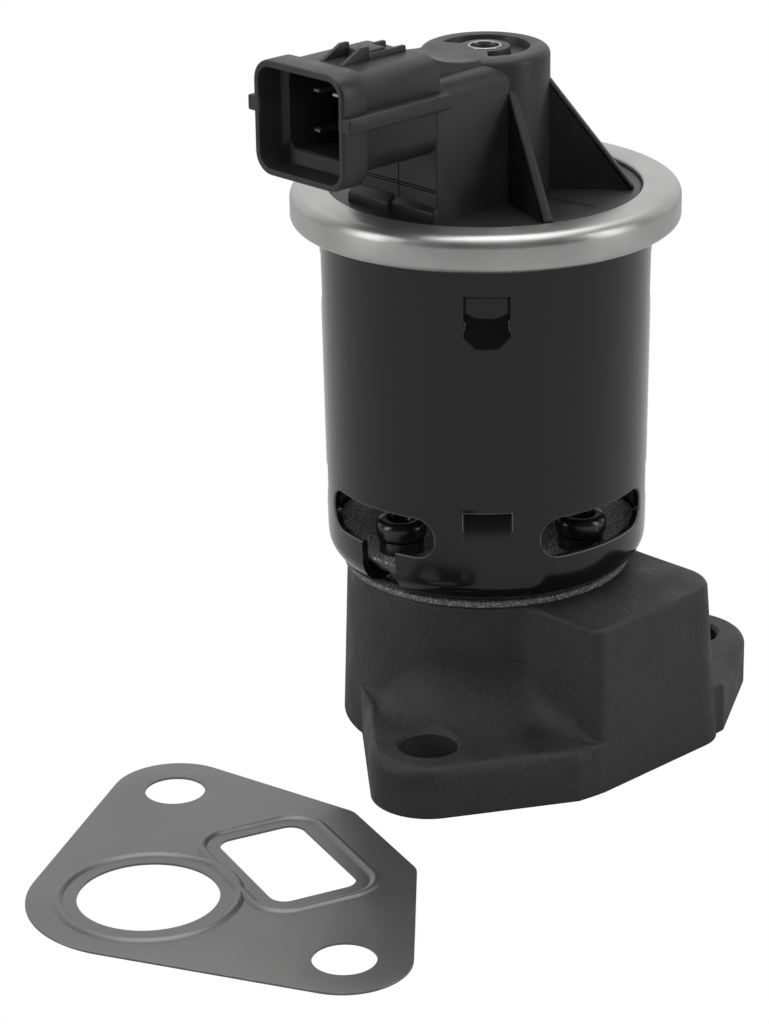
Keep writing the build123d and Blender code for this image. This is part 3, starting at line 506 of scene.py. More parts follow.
def castingCutters():
    front, back, cornerR = take(passages, "front", "back", "cornerR")
    port, duct = boxLoop(passages["half"], front, back, cornerR), ductLoop(front, back, cornerR)
    run = ductLoop(*take(passages, "runFront", "runBack", "runCornerR"))
    low, start, top = take(passages, "runLow", "ductFrom", "runTop")
    cutters = [studHole(side * casting["studX"], casting["studY"]) for side in (-1, 1)]
    cutters.append(skinLoops("cutter", atLevels([(port, -0.01), (duct, start), (duct, top)])))
    cutters.append(steppedBore())
    cutters.append(skinLoops("cutter", atLevels([(run, low), (run, top)])))
    return cutters


castBody = buildCasting()
cutWith(castBody, castingCutters(), smoothAngle=32)
handOver(castBody, mats["cast"], ["valve_base"])
print("stage: cast base")


# rim plate under the can
rim = {"bore": 6.2, "inner": 22.0, "outer": 23.4, "low": 27.0, "high": 28.0, "lowEdge": 0.25, "highEdge": 0.3}


def buildRimPlate():
    inner, outer, low, high = take(rim, "inner", "outer", "low", "high")
    edge = roundedLoop([(inner, low), (outer, low), (outer, high), (inner, high)],
                       [0.01, rim["lowEdge"], rim["highEdge"], 0.01], 4)
    return lathe("rim_plate", [(rim["bore"], low), *edge[2:-2], (rim["bore"], high)])


handOver(buildRimPlate(), mats["rim"], ["base_gasket"])


# drawn can: turned shell with pressed pockets and dimples, four windows and a notch are cut through it
# a pressed edge is a pair of lists, distance from where the edge starts and share of the depth left there
can = {
    "foot": 28.0, "footR": 25.8, "topR": 26.4, "wall": 1.2, "cornerR": 4.5, "flangeLow": 85.4,
    "flangeHigh": 86.6, "flangeR": 29.6, "lipHeight": 2.2, "lipReach": 0.55, "centreR": 6.2,
    "floorStepR": 14.0, "pressedWall": 2.9, "pressedBand": (67.5, 69.0, 81.0, 82.2),
    "turns": (-135, -45, 45, 135),
    "windowLow": 35.7, "windowHigh": 42.2, "windowHalf": 11.31, "windowCorner": 3.0, "edgeBevel": 0.28,
    "notchHalf": 3.57, "notchAt": 182.8, "notchCorner": 0.3,
    "pocketDepth": 1.5, "pocketSide": 3.35, "pocketTop": 79.0,
    "pocketEdge": ((0, 0.07, 0.15, 0.25, 0.37, 0.5, 0.65), (1, 0.5, 0.28, 0.147, 0.06, 0.017, 0)),
    "pocketRamp": ((70.3, 70.7, 71.2, 71.8, 75.3, 76), (0, 0.01, 0.05, 0.14, 0.97, 1)),
    "pocketHalf": 3.65, "pocketChamfer": 1.9, "slantEnd": 7.5, "slantRun": 3.5,
    "slantRise": ((67, 70.3, 72.5, 78.2), (0, 1, 1, 0)), "cutFrom": 21.0, "cutTo": 29.0,
    "dimpleDepth": 1.05, "dimpleSide": 3.6, "dimpleFoot": 37.4, "dimpleRise": 6.1, "dimpleBend": 1.35,
    "dimpleEdge": ((0, 0.12, 0.25, 0.4, 0.55), (1, 0.6, 0.2, 0.05, 0)),
    "dimpleTop": ((43.55, 43.65, 43.8, 43.95, 44.1), (1, 0.6, 0.2, 0.05, 0)),
}


# radius of the can's skin, which runs evenly from foot to flange
def canWall(z):
    return can["footR"] + (can["topR"] - can["footR"]) * (z - can["foot"]) / (can["flangeLow"] - can["foot"])


# outside of the can from its centre hole up to its flange, with rows crowding at the edges of the marks
def canOutside():
    corner, foot, flangeLow = take(can, "cornerR", "foot", "flangeLow")
    bends = np.linspace(0, np.pi / 2, 18)
    ramp, edge = can["pocketRamp"][0], can["pocketTop"] + np.array(can["pocketEdge"][0])
    dimpleRows = [36.8, 37.4, 38.0, 38.7, 39.4, 40.1, 40.9, 41.7, 42.6, *can["dimpleTop"][0], 45.0, 46.5]
    pocketRows = [67, 68.2, 69.4, *ramp[:4], 72.5, 73.2, 73.9, 74.6, *ramp[4:], 77, 78.2, *edge, 80.4, 82]
    rise = np.concatenate([[foot + corner + 1, 35.5], dimpleRows, np.linspace(49, 64, 7), pocketRows])
    neck = [(can["footR"] - corner * (1 - np.sin(b)), foot + corner * (1 - np.cos(b))) for b in bends]
    lip = [(can["topR"] + can["lipReach"] * (1 - np.cos(b)), flangeLow - can["lipHeight"] * (1 - np.sin(b)))
           for b in bends[::2]]
    return [(can["centreR"], foot), (can["floorStepR"], foot), *neck, *zip(canWall(rise), rise), *lip,
            (can["flangeR"], flangeLow), (can["flangeR"], can["flangeHigh"])], neck, bends


# inside of the can from its flange down, thicker behind the pressed pockets
def canInside(neck, bends):
    wall, thick, foot = take(can, "wall", "pressedWall", "foot")
    low, thickLow, thickHigh, high = can["pressedBand"]
    inner = [(can["topR"] - wall, can["flangeHigh"]), (canWall(high) - wall, high)]
    inner += [(canWall(thickHigh) - thick, thickHigh), (canWall(thickLow) - thick, thickLow)]
    inner += [(canWall(z) - wall, z) for z in (low, 60, 50, 44, 38)]
    inner += [(r - wall * np.sin(b), z + wall * np.cos(b)) for (r, z), b in zip(neck[::-3], bends[::-3])]
    return inner + [(can["floorStepR"], foot + wall), (can["centreR"], foot + wall)]


# columns crowd at the sides of the pressed marks
def canTurns():
    sides = can["pocketSide"] + np.array(can["pocketEdge"][0])
    near = np.array([0, 0.9, 1.75, 2.6, 3.1, *sides, 4.15, 4.8, 5.6, 6.8])
    near = np.degrees(np.concatenate([-near[:0:-1], near]) / canWall(60))
    turns = [centre + near for centre in can["turns"]]
    turns += [np.arange(centre + 17, centre + 74, 1.5) for centre in can["turns"]]
    return np.sort(np.concatenate(turns) % 360)


# how far the wall is pressed in: at each mark the smaller of the depths of its two crossing edge profiles
def pressedDepth(across, height):
    edgeAt, edgeLeft = np.array(can["pocketEdge"])
    rampAt, rampShare = can["pocketRamp"]
    sideways = np.interp(across, can["pocketSide"] + edgeAt, edgeLeft)
    upward = np.interp(height, [*rampAt, *(can["pocketTop"] + edgeAt)], [*rampShare, *edgeLeft])
    pocket = np.minimum(sideways, upward) * can["pocketDepth"]
    edgeAt, edgeLeft = np.array(can["dimpleEdge"])
    sideways = np.interp(across, can["dimpleSide"] + edgeAt, edgeLeft)
    ramp = np.clip((height - can["dimpleFoot"]) / can["dimpleRise"], 0, 1) ** can["dimpleBend"]
    upward = np.minimum(ramp, np.interp(height, *can["dimpleTop"]))
    return pocket + np.minimum(sideways, upward) * can["dimpleDepth"]


# grid of turns by profile points, whose outer side is pressed in at the marks
def buildCan():
    outer, neck, bends = canOutside()
    profile = np.array(outer + canInside(neck, bends))
    turns = canTurns()
    angle = np.radians(turns)[:, None]
    away = (turns[:, None] + 45) % 90 - 45
    away = (away + 90) % 90 - 45
    across = np.abs(np.radians(away)) * canWall(60)
    radius, height = profile[:, 0] + 0 * angle, profile[:, 1] + 0 * angle
    outside = np.arange(len(profile)) < len(outer)
    radius = radius - np.where(outside, pressedDepth(across, height), 0)

    # rows at the foot of the pockets rise towards both sides, which gives the cut-off corners
    slant = np.clip(across - (can["pocketHalf"] - can["pocketChamfer"]), 0, can["pocketChamfer"])
    slant = slant * np.clip((can["slantEnd"] - across) / can["slantRun"], 0, 1)
    share = np.interp(height, *can["slantRise"])
    height = height + np.where(outside, slant * share, 0)
    shell = gridMesh("can_shell", aboutAxis(radius, angle, height), True, True, smoothAngle=38)
    cutWith(shell, [windowCutter(turn) for turn in (0, 90, 180, 270)] + [notchCutter()], smoothAngle=38)
    return shell


# opening seen flat, carried outwards: each layer lies on a cylinder, whose x is the root of radius squared
# less y squared
def layeredCutter(outline, layers, turn):
    rings = []
    for radius, grow in layers:
        loop = insetLoop(outline, -grow)
        rings.append(np.column_stack([np.sqrt(radius ** 2 - loop[:, 0] ** 2), loop]))
    return skinLoops("cutter", turnedAbout(turn)(np.array(rings)))


def windowCutter(turn):
    flat = boxLoop(can["windowHalf"], can["windowLow"], can["windowHigh"], can["windowCorner"], 12)
    skin, bevel = canWall(39), can["edgeBevel"]
    layers = [(can["cutFrom"], 0), (skin - bevel, 0), (skin - bevel * 0.45, bevel * 0.2),
              (skin - bevel * 0.12, bevel * 0.55), (skin + 0.005, bevel), (can["cutTo"], bevel)]
    return layeredCutter(denseLoop(flat, 0.5), layers, turn)


def notchCutter():
    low, high = can["foot"] - 1, can["windowLow"] + 1.0
    loop = denseLoop(boxLoop(can["notchHalf"], low, high, can["notchCorner"], 3), 0.5)
    start = can["footR"] - can["cornerR"] + 0.2
    return layeredCutter(loop, ((start, 0), (25.0, 0), (can["cutTo"], 0)), can["notchAt"])


# painted highlight: the bevels of the windows and the rims of the dimples get a lighter black, which stands
# for the light that these edges catch
highlightBands = {"span": 27.0, "band": (35.1, 42.8), "depth": (0.01, 0.3), "side": (3.82, 4.02),
        "sideRise": (40.8, 43.97), "topRise": (43.9, 44.1), "rimDepth": 0.5}


def between(values, limits):
    return (values > limits[0]) & (values < limits[1])


# picks the can faces that take the painted highlight
def paintEdgeHighlights(shell):
    mesh = shell.data
    middle = np.zeros(len(mesh.polygons) * 3)
    mesh.polygons.foreach_get("center", middle)
    x, y, z = middle.reshape(-1, 3).T / mm
    away = np.abs((np.degrees(np.arctan2(y, x)) + 45) % 90 - 45)
    depth = canWall(z) - np.hypot(x, y)
    bevel = (away < highlightBands["span"]) & between(z, highlightBands["band"]) & between(depth, highlightBands["depth"])
    across = np.radians(45 - away) * canWall(60)
    side = between(across, highlightBands["side"]) & between(z, highlightBands["sideRise"])
    top = (across < highlightBands["side"][1]) & between(z, highlightBands["topRise"])
    rims = (side | top) & (depth < highlightBands["rimDepth"])
    # faces on the window bevels and dimple rims take the lighter painted-highlight black
    mesh.materials.append(mats["paintedEdgeHighlight"])
    mesh.polygons.foreach_set("material_index", (bevel | rims).astype(np.int32))


canShell = buildCan()
handOver(canShell, mats["can"], ["housing_can"])
paintEdgeHighlights(canShell)
print("stage: can")


# four can screws with rounded drum heads
screws = {"ring": 19.0, "angles": (179, -1, 97, -83), "headR": 4.05, "foot": 33.0, "collar": 35.2,
          "top": 38.5, "neckR": 3.6, "shankR": 2.4, "shankEnd": 22.3, "mouthR": 2.4, "socketR": 2.0,
          "socketDeep": 1.3, "radii": (1.0, 1.1, 0.4, 0.3, 0.01, 0.01, 0.2, 0.02, 0.1, 0.1)}


def buildScrews():
    head, shank, neck, socket = take(screws, "headR", "shankR", "neckR", "socketR")
    collar, top, foot, end = take(screws, "collar", "top", "foot", "shankEnd")
    bottom = top - screws["socketDeep"]
    corners = [(head, collar), (head, top), (screws["mouthR"], top), (socket, bottom), (0.0, bottom),
               (0.0, end), (shank, end), (shank, foot), (neck, foot), (neck, collar)]
    points = turnedProfile(roundedLoop(corners, screws["radii"], 8), 64) + [screws["ring"], 0, 0]
    pieces = [gridMesh("screw", turnedAbout(turn)(points), True, True) for turn in screws["angles"]]
    return joinPieces("screw_heads", pieces)


handOver(buildScrews(), mats["screw"], ["can_screws"])


# rolled ring that clamps the cap on the can
ringLook = {"opening": 24.8, "outer": 30.9, "top": 90.2, "low": 84.4, "inner": 29.62, "footInner": 27.0,
            "footTop": 85.38, "lipDeep": 1.0, "radii": (0.15, 0.45, 1.9, 1.2, 0.3, 0.2, 0.3, 0.3)}


def buildCrimpRing():
    top, low, outer, opening = take(ringLook, "top", "low", "outer", "opening")
    inner, foot, footTop = take(ringLook, "inner", "footInner", "footTop")
    lip = top - ringLook["lipDeep"]
    corners = [(opening, lip), (opening, top), (outer, top), (outer, low), (foot, low), (foot, footTop),
               (inner, footTop), (inner, lip)]
    return lathe("crimped_ring", roundedLoop(corners, ringLook["radii"], 9), steps=256)


handOver(buildCrimpRing(), mats["ringSteel"], ["crimp_ring"])
print("stage: ring and screws")


# sensor cap: disc, boss with its groove, tower, ribs, step and plug shroud
cap = {
    "low": 82.42, "brim": 86.62, "brimTop": 89.15, "disc": 89.4, "bore": 7.6, "skirtR": 24.9, "brimR": 29.55,
    "discR": 24.5, "edges": (0.01, 0.3, 0.2, 0.3, 0.3, 0.02, 0.12, 0.01),
    "seam": ((2.1, -11.5), (3.3, -20.6), (0.11, 0.014)), "seamDepth": 0.3,
    "bossR": 10.2, "bossTop": 112.0, "bossFoot": 88.0, "bossEdge": 1.3, "eyeletR": 2.72, "eyeletDeep": 3.2,
    "grooveOuter": 7.0, "grooveInner": 4.0, "grooveDepth": 1.3, "grooveFrom": -130.0, "grooveSweep": 243.0,
    "grooveEdge": ((-0.2, 0), (-0.08, 0.03), (0, 0.15), (0.05, 0.85), (0.15, 1)), "grooveEndShare": 0.7,
}


def buildCapDisc():
    bore, low, brim, brimTop, top = take(cap, "bore", "low", "brim", "brimTop", "disc")
    corners = [(bore, low), (cap["skirtR"], low), (cap["skirtR"], brim), (cap["brimR"], brim),
               (cap["brimR"], brimTop), (cap["discR"], brimTop), (cap["discR"], top), (bore, top)]
    disc = lathe("cap_disc", roundedLoop(corners, cap["edges"], 4), steps=160)
    start, end, side = np.array(cap["seam"])
    loop = np.array([start - side, end - side, end + side, start + side])
    cutWith(disc, [prism("cutter", loop, top - cap["seamDepth"], top + 1, 0, 0, steps=2)])
    return disc


# boss on a polar grid of turns by rings: a groove edge is pairs of distance past the wall and share of the
# depth, so rings lie on both sides of each groove wall
def buildBoss():
    edge, top, radius = take(cap, "bossEdge", "bossTop", "bossR")
    past, share = np.array(cap["grooveEdge"]).T
    rings = [cap["eyeletR"], cap["eyeletR"] + 0.15, 3.4, *(cap["grooveInner"] + past), 5.3,
             *(cap["grooveOuter"] - past[::-1]), 8.4, radius - edge]
    groove = [0, 0, 0, *share, 1, *share[::-1], 0, 0]
    start = cap["grooveFrom"]
    stop = start + cap["grooveSweep"]
    inGroove = [start + 0.2, start + 1.6, *np.arange(start + 4, stop - 3, 3.0), stop - 1.6, stop - 0.2]
    outside = [stop + 1.2, *np.arange(stop + 4, start + 358, 3.0), start + 358.8]
    angle = np.radians(inGroove + outside)[:, None]
    end = cap["grooveEndShare"]
    reach = np.array([end] + [1] * (len(inGroove) - 2) + [end] + [0] * len(outside))[:, None]
    bend = np.linspace(0, np.pi / 2, 7)[1:]
    seat = top - cap["eyeletDeep"]
    radii = [0, cap["eyeletR"], *rings, *(radius - edge * (1 - np.sin(bend))), radius, radius, 0]
    heights = [seat, seat, *np.full(len(rings), top), *(top - edge * (1 - np.cos(bend))), 100.0,
               cap["bossFoot"], cap["bossFoot"]]
    drop = reach * np.array([0, 0, *groove, *np.zeros(len(bend) + 3)]) * cap["grooveDepth"]
    return gridMesh("cap_boss", aboutAxis(radii, angle, heights - drop), closeRows=True, smoothAngle=30)


# saddleShare is the part of the rise at saddleY, and lineZ the top line's height at lineX
tower = {
    "left": -19.8, "right": -0.2, "half": 9.3, "top": 111.3, "shoulder": 2.6, "foot": 88.5, "middle": 100.0,
    "endEdge": ((0, 0.04, 0.18, 0.35), (0.35, 0.2, 0.06, 0)), "saddleHalf": 6.6,
    "saddleY": (6.55, 6.45, 6.3, 6.1, 5.4, 3.0, 0.0), "saddleShare": (0.0, 0.45, 0.85, 1.0, 1.0, 1.0, 1.0),
    "lineX": (-18.7, -18.0, -17.0, -16.0, -15, -14, -13, -12, -11, -10, -9, -8, -7.3, -7.2),
    "lineZ": (114.9, 114.5, 113.93, 113.5, 113.18, 112.93, 112.7, 112.5, 112.33, 112.2, 112.1, 112.0588,
              112.03, 111.3), "seamDepth": 0.35,
    "seams": ((-9.0, 8.9, 94.43, 94.63), (-9.0, 8.9, 94.02, 94.22), (-1.0, -0.8, 92.0, 97.8)),
}


# cross-sections along the connector's axis: a box with round shoulders, its middle raised to the falling
# saddle line, with thin parting grooves low on the front
def buildTower():
    half, top, shoulder, left = take(tower, "half", "top", "shoulder", "left")
    bend = np.linspace(0, np.pi / 2, 9)
    flatY = np.array(tower["saddleY"])
    sideY = np.concatenate([[half, half], half - shoulder + shoulder * np.cos(bend), flatY])
    sideZ = np.concatenate([[tower["foot"], tower["middle"]], top - shoulder + shoulder * np.sin(bend),
                            np.full(len(flatY), top)])
    share = np.concatenate([np.zeros(len(bend) + 2), tower["saddleShare"]])
    loopY = np.concatenate([-sideY, sideY[::-1][1:]])
    loopZ, loopShare = (np.concatenate([side, side[::-1][1:]]) for side in (sideZ, share))
    edgeAt, edgeInset = np.array(tower["endEdge"])
    stations = np.array([*(left + edgeAt), *tower["lineX"], tower["right"]])
    inset = np.interp(stations, left + edgeAt, edgeInset)[:, None]
    line = np.interp(stations, tower["lineX"], tower["lineZ"])[:, None]
    x = stations[:, None] + 0 * loopY
    y = np.sign(loopY) * (np.abs(loopY) - inset * (np.abs(loopY) > tower["saddleHalf"]))
    z = loopZ + loopShare * (line - top) - inset * (loopZ > tower["middle"])
    body = skinLoops("tower_body", np.stack([x, y, z], axis=-1), smoothAngle=40)
    cutters = []
    for near, far, low, high in tower["seams"]:
        loop = np.array([(near, low), (far, low), (far, high), (near, high)])
        cutters.append(prism("cutter", loop, left - 1, left + tower["seamDepth"], 0, 0, axis="x", steps=2))
    cutWith(body, cutters, 40)
    return body


ribs = {
    "turns": (57.5, 111.0, -51.0, -111.0), "half": 0.75, "edge": 0.35, "radii": (0.05, 0.05, 0.4, 0.5, 0.2),
    "side": ((9.4, 89.0), (23.4, 89.0), (23.4, 90.0), (10.25, 107.0), (9.4, 107.2)),
}


# gussets between disc and boss: one side view, thickened and turned about the axis
def buildRibs():
    side, half, edge = roundedLoop(ribs["side"], ribs["radii"], 5), ribs["half"], ribs["edge"]
    return [prism("cap_rib", side, -half, half, edge, edge, axis="y", place=turnedAbout(turn))
            for turn in ribs["turns"]]


# step under the tower in two halves, each a front and its two sides
step = {"low": 89.0, "high": 92.3, "back": -15.4, "chamfer": 1.2, "edge": 0.3,
        "radii": (0.05, 0.05, 0.3, 0.3, 0.3), "halves": ((-21.1, 0.2, 9.25), (-20.6, -9.25, 0.15))}


def buildStep():
    low, high, back, chamfer, edge = take(step, "low", "high", "back", "chamfer", "edge")
    pieces = []
    for front, near, far in step["halves"]:
        side = [(front, low), (back, low), (back, high), (front + chamfer, high), (front, high - chamfer)]
        pieces.append(prism("cap_step", roundedLoop(side, step["radii"], 5), near, far, edge, edge, axis="y"))
    return pieces


# box and lip are half width, low, high and corner radius
plug = {"box": (9.2, 99.7, 115.1, 3.2), "lip": (9.8, 98.0, 115.8, 3.4), "mouth": -39.5, "lipLength": 5.0,
        "lipWall": 1.1, "wall": 1.7, "leastCorner": 0.4, "floor": -22.5, "back": -18.6}


def shroudRing(part, grow, x):
    half, low, high, corner = plug[part]
    loop = boxLoop(half + grow, low - grow, high + grow, max(corner + grow, plug["leastCorner"]), 9)
    return np.column_stack([np.full(len(loop), x), loop])


# shroud and socket as one skin of equal loops, from the back round the mouth to the socket floor
def buildShroud():
    wall, lipWall, mouth, back, floor = take(plug, "wall", "lipWall", "mouth", "back", "floor")
    band = mouth + plug["lipLength"]
    outside = [("box", -0.3, back), ("box", 0, back - 0.3), ("box", 0, band + 0.25),
               ("box", 0.12, band + 0.06), ("lip", -0.3, band), ("lip", -0.08, band - 0.08),
               ("lip", 0, band - 0.3), ("lip", 0, mouth + 0.45), ("lip", -0.07, mouth + 0.2),
               ("lip", -0.22, mouth + 0.05), ("lip", -0.42, mouth)]
    inside = [("lip", 0.35 - lipWall, mouth), ("lip", 0.08 - lipWall, mouth + 0.12),
              ("lip", -lipWall, mouth + 0.4), ("lip", -lipWall, band - 0.5), ("box", 0.25 - wall, band - 0.1),
              ("box", -wall, band + 0.2), ("box", -wall, floor - 0.3), ("box", -wall - 0.3, floor)]
    return skinLoops("plug_shroud", [shroudRing(*ring) for ring in outside + inside])


# rails beside the shroud, and side views of its latch's ribs, bars and hump with their corner radii
trim = {
    "rail": (8.6, 11.2, 107.4, 109.8), "railBack": -18.5, "latchAt": 2.15, "latchHalf": 0.35, "humpHalf": 2.0,
    "rib": ((-32.6, 114.6), (-27.0, 114.6), (-27.0, 117.15), (-28.7, 117.15), (-32.6, 115.15)),
    "bar": ((-27.3, 114.6), (-19.4, 114.6), (-19.4, 116.0), (-27.3, 116.0)),
    "hump": ((-28.2, 114.6), (-22.6, 114.6), (-23.2, 116.35), (-27.6, 116.35)),
    "ribRadii": (0.05, 0.05, 0.25, 0.4, 0.1), "barRadii": (0.05, 0.05, 0.3, 0.2),
    "humpRadii": (0.05, 0.05, 0.4, 0.4),
}


def buildPlugTrim():
    inner, outer, low, high = trim["rail"]
    pieces = []
    for side in (-1, 1):
        near, far = side * inner, side * outer
        rail = roundedLoop([(near, low), (far, low), (far, high), (near, high)][::side], 0.3, 4)
        pieces.append(prism("plug_rail", rail, plug["mouth"] + 0.05, trim["railBack"], 0.3, 0.1, axis="x"))
        middle, half = side * trim["latchAt"], trim["latchHalf"]
        for part in ("rib", "bar"):
            loop = roundedLoop(trim[part], trim[part + "Radii"], 4)
            pieces.append(prism("latch_" + part, loop, middle - half, middle + half, 0.12, 0.12, axis="y"))
    hump, half = roundedLoop(trim["hump"], trim["humpRadii"], 5), trim["humpHalf"]
    pieces.append(prism("latch_hump", hump, -half, half, 0.2, 0.2, axis="y"))
    return pieces


capPieces = [buildCapDisc(), buildBoss(), buildTower(), *buildRibs(), *buildStep(), buildShroud()]
for piece in capPieces + buildPlugTrim():
    handOver(piece, mats["plastic"], ["sensor_cap"])

eyelet = {"inner": 2.25, "outer": 2.7, "low": 108.8, "high": 112.15, "radii": (0.05, 0.05, 0.2, 0.15)}


def buildEyelet():
    inner, outer, low, high = take(eyelet, "inner", "outer", "low", "high")
    profile = roundedLoop([(inner, low), (outer, low), (outer, high), (inner, high)], eyelet["radii"], 5)
    return lathe("brass_eyelet", profile, steps=64)


handOver(buildEyelet(), mats["eyelet"], ["cap_eyelet"])
print("stage: cap")


# springs about the valve axis, each wound to fill its node's box
springs = {
    "return_spring": {"joint": "valve_lift", "lift": 4.2, "wireR": 0.42, "turns": 5},
    "sensor_spring": {"joint": "sensor_slide", "lift": 4.2, "wireR": 0.3, "turns": 4},
}


# wire surface: a point of the helix, plus the wire's radius times the cosine outwards and the sine upwards
def buildSpring(node, low, high, wireR, turns):
    coilR = (high[0] - low[0]) / 2 - wireR
    turn = np.linspace(0, fullTurn * turns, turns * 48 + 1)[:, None]
    around = np.linspace(0, fullTurn, 12, endpoint=False)
    rise = (high[2] - low[2] - 2 * wireR) * turn / turn[-1]
    level = low[2] + wireR + rise + wireR * np.sin(around)
    points = aboutAxis(coilR + wireR * np.cos(around), turn, level)
    return skinLoops("wound_" + node, points, smoothAngle=50)


for node, spring in springs.items():
    nodeLow, nodeHigh = (np.array(corner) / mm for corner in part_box(node))
    piece = buildSpring(node, nodeLow, nodeHigh, spring["wireR"], spring["turns"])
    handOver(piece, mats["steel"], [node])
    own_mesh(piece)
print("stage: springs")


# pressed steel gasket with one bead round each port; rectPort is half width, low, high and corner radius
sheet = {
    "x": -84.85, "y": -12.8, "turn": 72.5, "thickness": 0.35, "lowEdge": 0.05, "highEdge": 0.12,
    "backR": 18.3, "earR": 10.0, "studX": 30.8, "studY": -17.5,
    "corners": ((-9.9, -35.3, 4.0), (9.9, -35.3, 4.0)), "holeR": 4.75, "portR": 10.7,
    "rectPort": (11.3, -29.8, -15.8, 2.5), "beadFrom": 2.0, "beadWidth": 1.8,
    "beadHeight": 0.4, "beadBend": 1.2, "beadSunk": 0.05,
}


def buildPlate(place):
    angle = np.radians(np.arange(0, 360, 0.5))
    loop = aboutAxis(hullRadius(angle, outlineCircles(sheet)), angle, 0.0)[:, :2]
    thickness = sheet["thickness"]
    plate = prism("gasket_sheet", loop, 0.0, thickness, sheet["lowEdge"], sheet["highEdge"], place=place)
    studX, studY, holeR = take(sheet, "studX", "studY", "holeR")
    openings = [circleLoop(sheet["portR"], steps=128)]
    openings += [circleLoop(holeR, side * studX, studY, steps=128) for side in (-1, 1)]
    openings.append(boxLoop(*sheet["rectPort"], 9))
    cutters = [skinLoops("cutter", place(atLevels([(opening, -1), (opening, 2)]))) for opening in openings]
    cutWith(plate, cutters, 30)
    return plate


# half-round strips offset from both ports: height is thickness plus bead height times a power of the cosine
def buildBead(place):
    middle = sheet["beadFrom"] + sheet["beadWidth"] / 2
    across = np.linspace(-1, 1, 15)
    rise = sheet["thickness"] + sheet["beadHeight"] * np.cos(across * np.pi / 2) ** sheet["beadBend"]
    rise[[0, -1]] = sheet["thickness"] - sheet["beadSunk"]
    grown = middle + across * sheet["beadWidth"] / 2
    half, low, high, corner = sheet["rectPort"]
    paths = [[circleLoop(sheet["portR"] + grow, steps=240) for grow in grown]]
    paths.append([boxLoop(half + grow, low - grow, high + grow, corner + grow, 24) for grow in grown])
    strips = []
    for rows in paths:
        strips.append(gridMesh("bead", place(atLevels(zip(rows, rise))), closeCols=True, smoothAngle=60))
    bead = joinPieces("gasket_bead", strips)
    bead.data.shade_smooth()
    return bead


def buildGasket():
    place = turnedAbout(sheet["turn"], sheet["x"], sheet["y"])
    return buildPlate(place), buildBead(place)


for piece in buildGasket():
    handOver(piece, mats["gasketSteel"], ["flange_gasket"])
print("stage: gasket")


# pale floor and a dark screen behind the camera, in metres and degrees
studio = {"floorSize": 3.0, "floorShade": 0.5, "wallRadius": 1.1, "wallLow": -0.005, "wallHigh": 1.5,
          "wallShade": 0.043, "toward": -133.3, "openBack": 110}


# floor that the camera sees as plain white, and that throws grey light on the valve
def buildFloor():
    half = studio["floorSize"] / mm / 2
    corners = [(-half, -half, 0), (half, -half, 0), (half, half, 0), (-half, half, 0)]
    obj = meshFromArrays("floor", corners, [[0, 1, 2, 3]])
    mat = bpy.data.materials.new("floor_white")
    mat.use_nodes = True
    nodes, links = mat.node_tree.nodes, mat.node_tree.links
    nodes.clear()
    out = nodes.new("ShaderNodeOutputMaterial")
    glow = nodes.new("ShaderNodeEmission")
    glow.inputs["Color"].default_value = (1, 1, 1, 1)
    diffuse = nodes.new("ShaderNodeBsdfDiffuse")
    diffuse.inputs["Color"].default_value = (*[studio["floorShade"]] * 3, 1)
    mix = nodes.new("ShaderNodeMixShader")
    path = nodes.new("ShaderNodeLightPath")
    links.new(path.outputs["Is Camera Ray"], mix.inputs["Fac"])
    links.new(diffuse.outputs["BSDF"], mix.inputs[1])
    links.new(glow.outputs["Emission"], mix.inputs[2])
    links.new(mix.outputs["Shader"], out.inputs["Surface"])
    obj.data.materials.append(mat)
    return obj


# dark half-round screen on the camera's side, which the glossy parts mirror
def buildScreen():
    toward, openBack = studio["toward"], studio["openBack"]
    spread = np.radians(np.linspace(toward - openBack, toward + openBack, 40))
    heights = np.array([studio["wallLow"], studio["wallHigh"]])[:, None] / mm
    obj = gridMesh("screen", aboutAxis(studio["wallRadius"] / mm, spread, heights), recalc=False)
    shade = [studio["wallShade"]] * 3
    obj.data.materials.append(material("screen_grey", {"color": shade, "rough": 0.9}))
    obj.visible_camera = False
    return obj


floor = buildFloor()
screen = buildScreen()


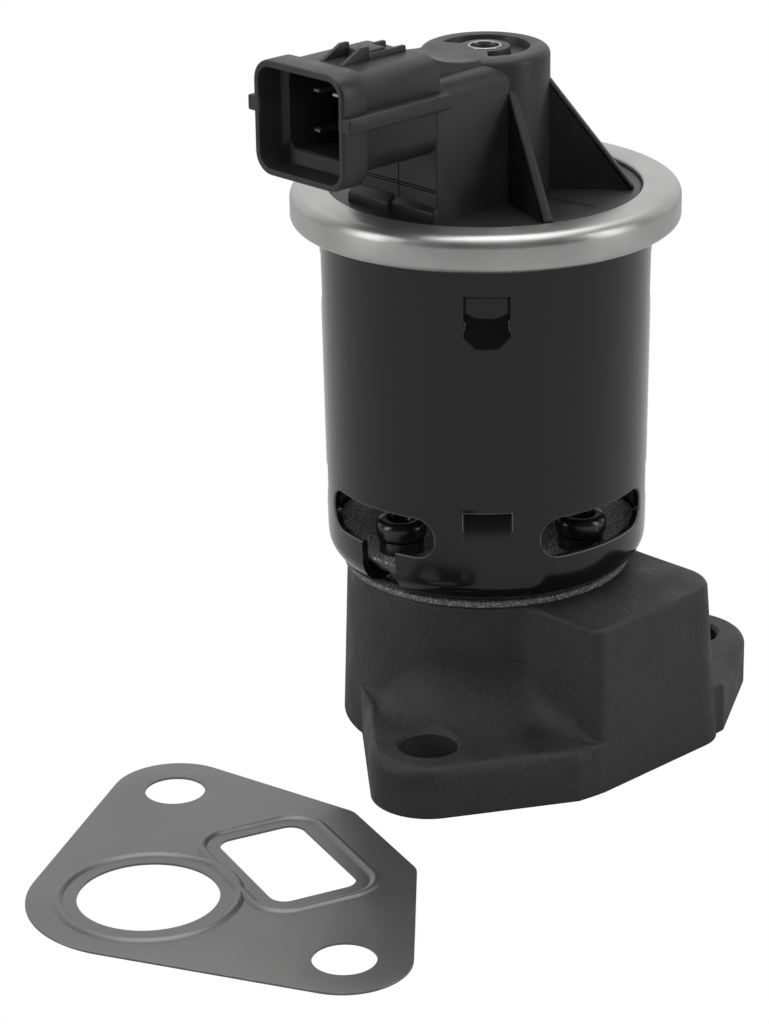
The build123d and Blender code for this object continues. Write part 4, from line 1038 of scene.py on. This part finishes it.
# lamp whose local z points from its aim back to its place
def areaLight(name, place, aim, size, power, sizeY=None, glossy=True):
    data = bpy.data.lights.new(name, "AREA")
    data.energy = power
    data.shape = "RECTANGLE"
    data.size = size
    data.size_y = sizeY or size
    obj = bpy.data.objects.new(name, data)
    bpy.context.collection.objects.link(obj)
    place, aim = np.array(place, float), np.array(aim, float)
    back = (place - aim) / np.linalg.norm(place - aim)
    side = np.cross([0, 0, 1.0], back)
    side = side / max(np.linalg.norm(side), 1e-6)
    stance = np.eye(4)
    stance[:3] = np.column_stack([side, np.cross(back, side), back, place])
    obj.matrix_world = Matrix(stance.tolist())
    obj.visible_camera = False
    obj.visible_glossy = glossy
    return obj


lights = {
    "top": dict(place=(0.1, 0.1, 0.9), aim=(0, 0, 0.05), size=0.8, power=5.0),
    "front": dict(place=(-0.5, -0.75, 0.55), aim=(0, 0, 0.05), size=0.7, power=5.0, glossy=False),
    "leftStrip": dict(place=(-0.75, 0.35, 0.35), aim=(0, 0, 0.06), size=0.25, sizeY=0.8, power=3.5),
    "rightStrip": dict(place=(0.45, -0.75, 0.35), aim=(0, 0, 0.06), size=0.2, sizeY=0.8, power=3.0),
}
for name, settings in lights.items():
    areaLight(name, **settings)

world = bpy.data.worlds.new("studio")
bpy.context.scene.world = world
world.use_nodes = True
world.node_tree.nodes["Background"].inputs["Color"].default_value = (1, 1, 1, 1)
world.node_tree.nodes["Background"].inputs["Strength"].default_value = 1.0

view = bpy.context.scene.view_settings
view.view_transform = "Standard"


# camera fitted to the outline of the valve
lens = {"place": (-0.37177, -0.36647, 0.241), "azimuth": 43.583, "down": 21.605, "roll": -0.876,
        "focalPixels": 3433.4, "longSide": 1024, "sensor": 36.0}
cameraData = bpy.data.cameras.new("camera")
cameraData.sensor_width = lens["sensor"]
cameraData.lens = lens["focalPixels"] * lens["sensor"] / lens["longSide"]
cameraData.clip_start = 0.01
cameraData.clip_end = 50
camera = bpy.data.objects.new("camera", cameraData)
bpy.context.collection.objects.link(camera)
azimuth, down, roll = np.radians(take(lens, "azimuth", "down", "roll"))
aim = Matrix.Rotation(-azimuth, 4, "Z") @ Matrix.Rotation(np.pi / 2 - down, 4, "X")
aim = aim @ Matrix.Rotation(roll, 4, "Z")
camera.matrix_world = Matrix.Translation(lens["place"]) @ aim
bpy.context.scene.camera = camera
print("stage: studio and camera")
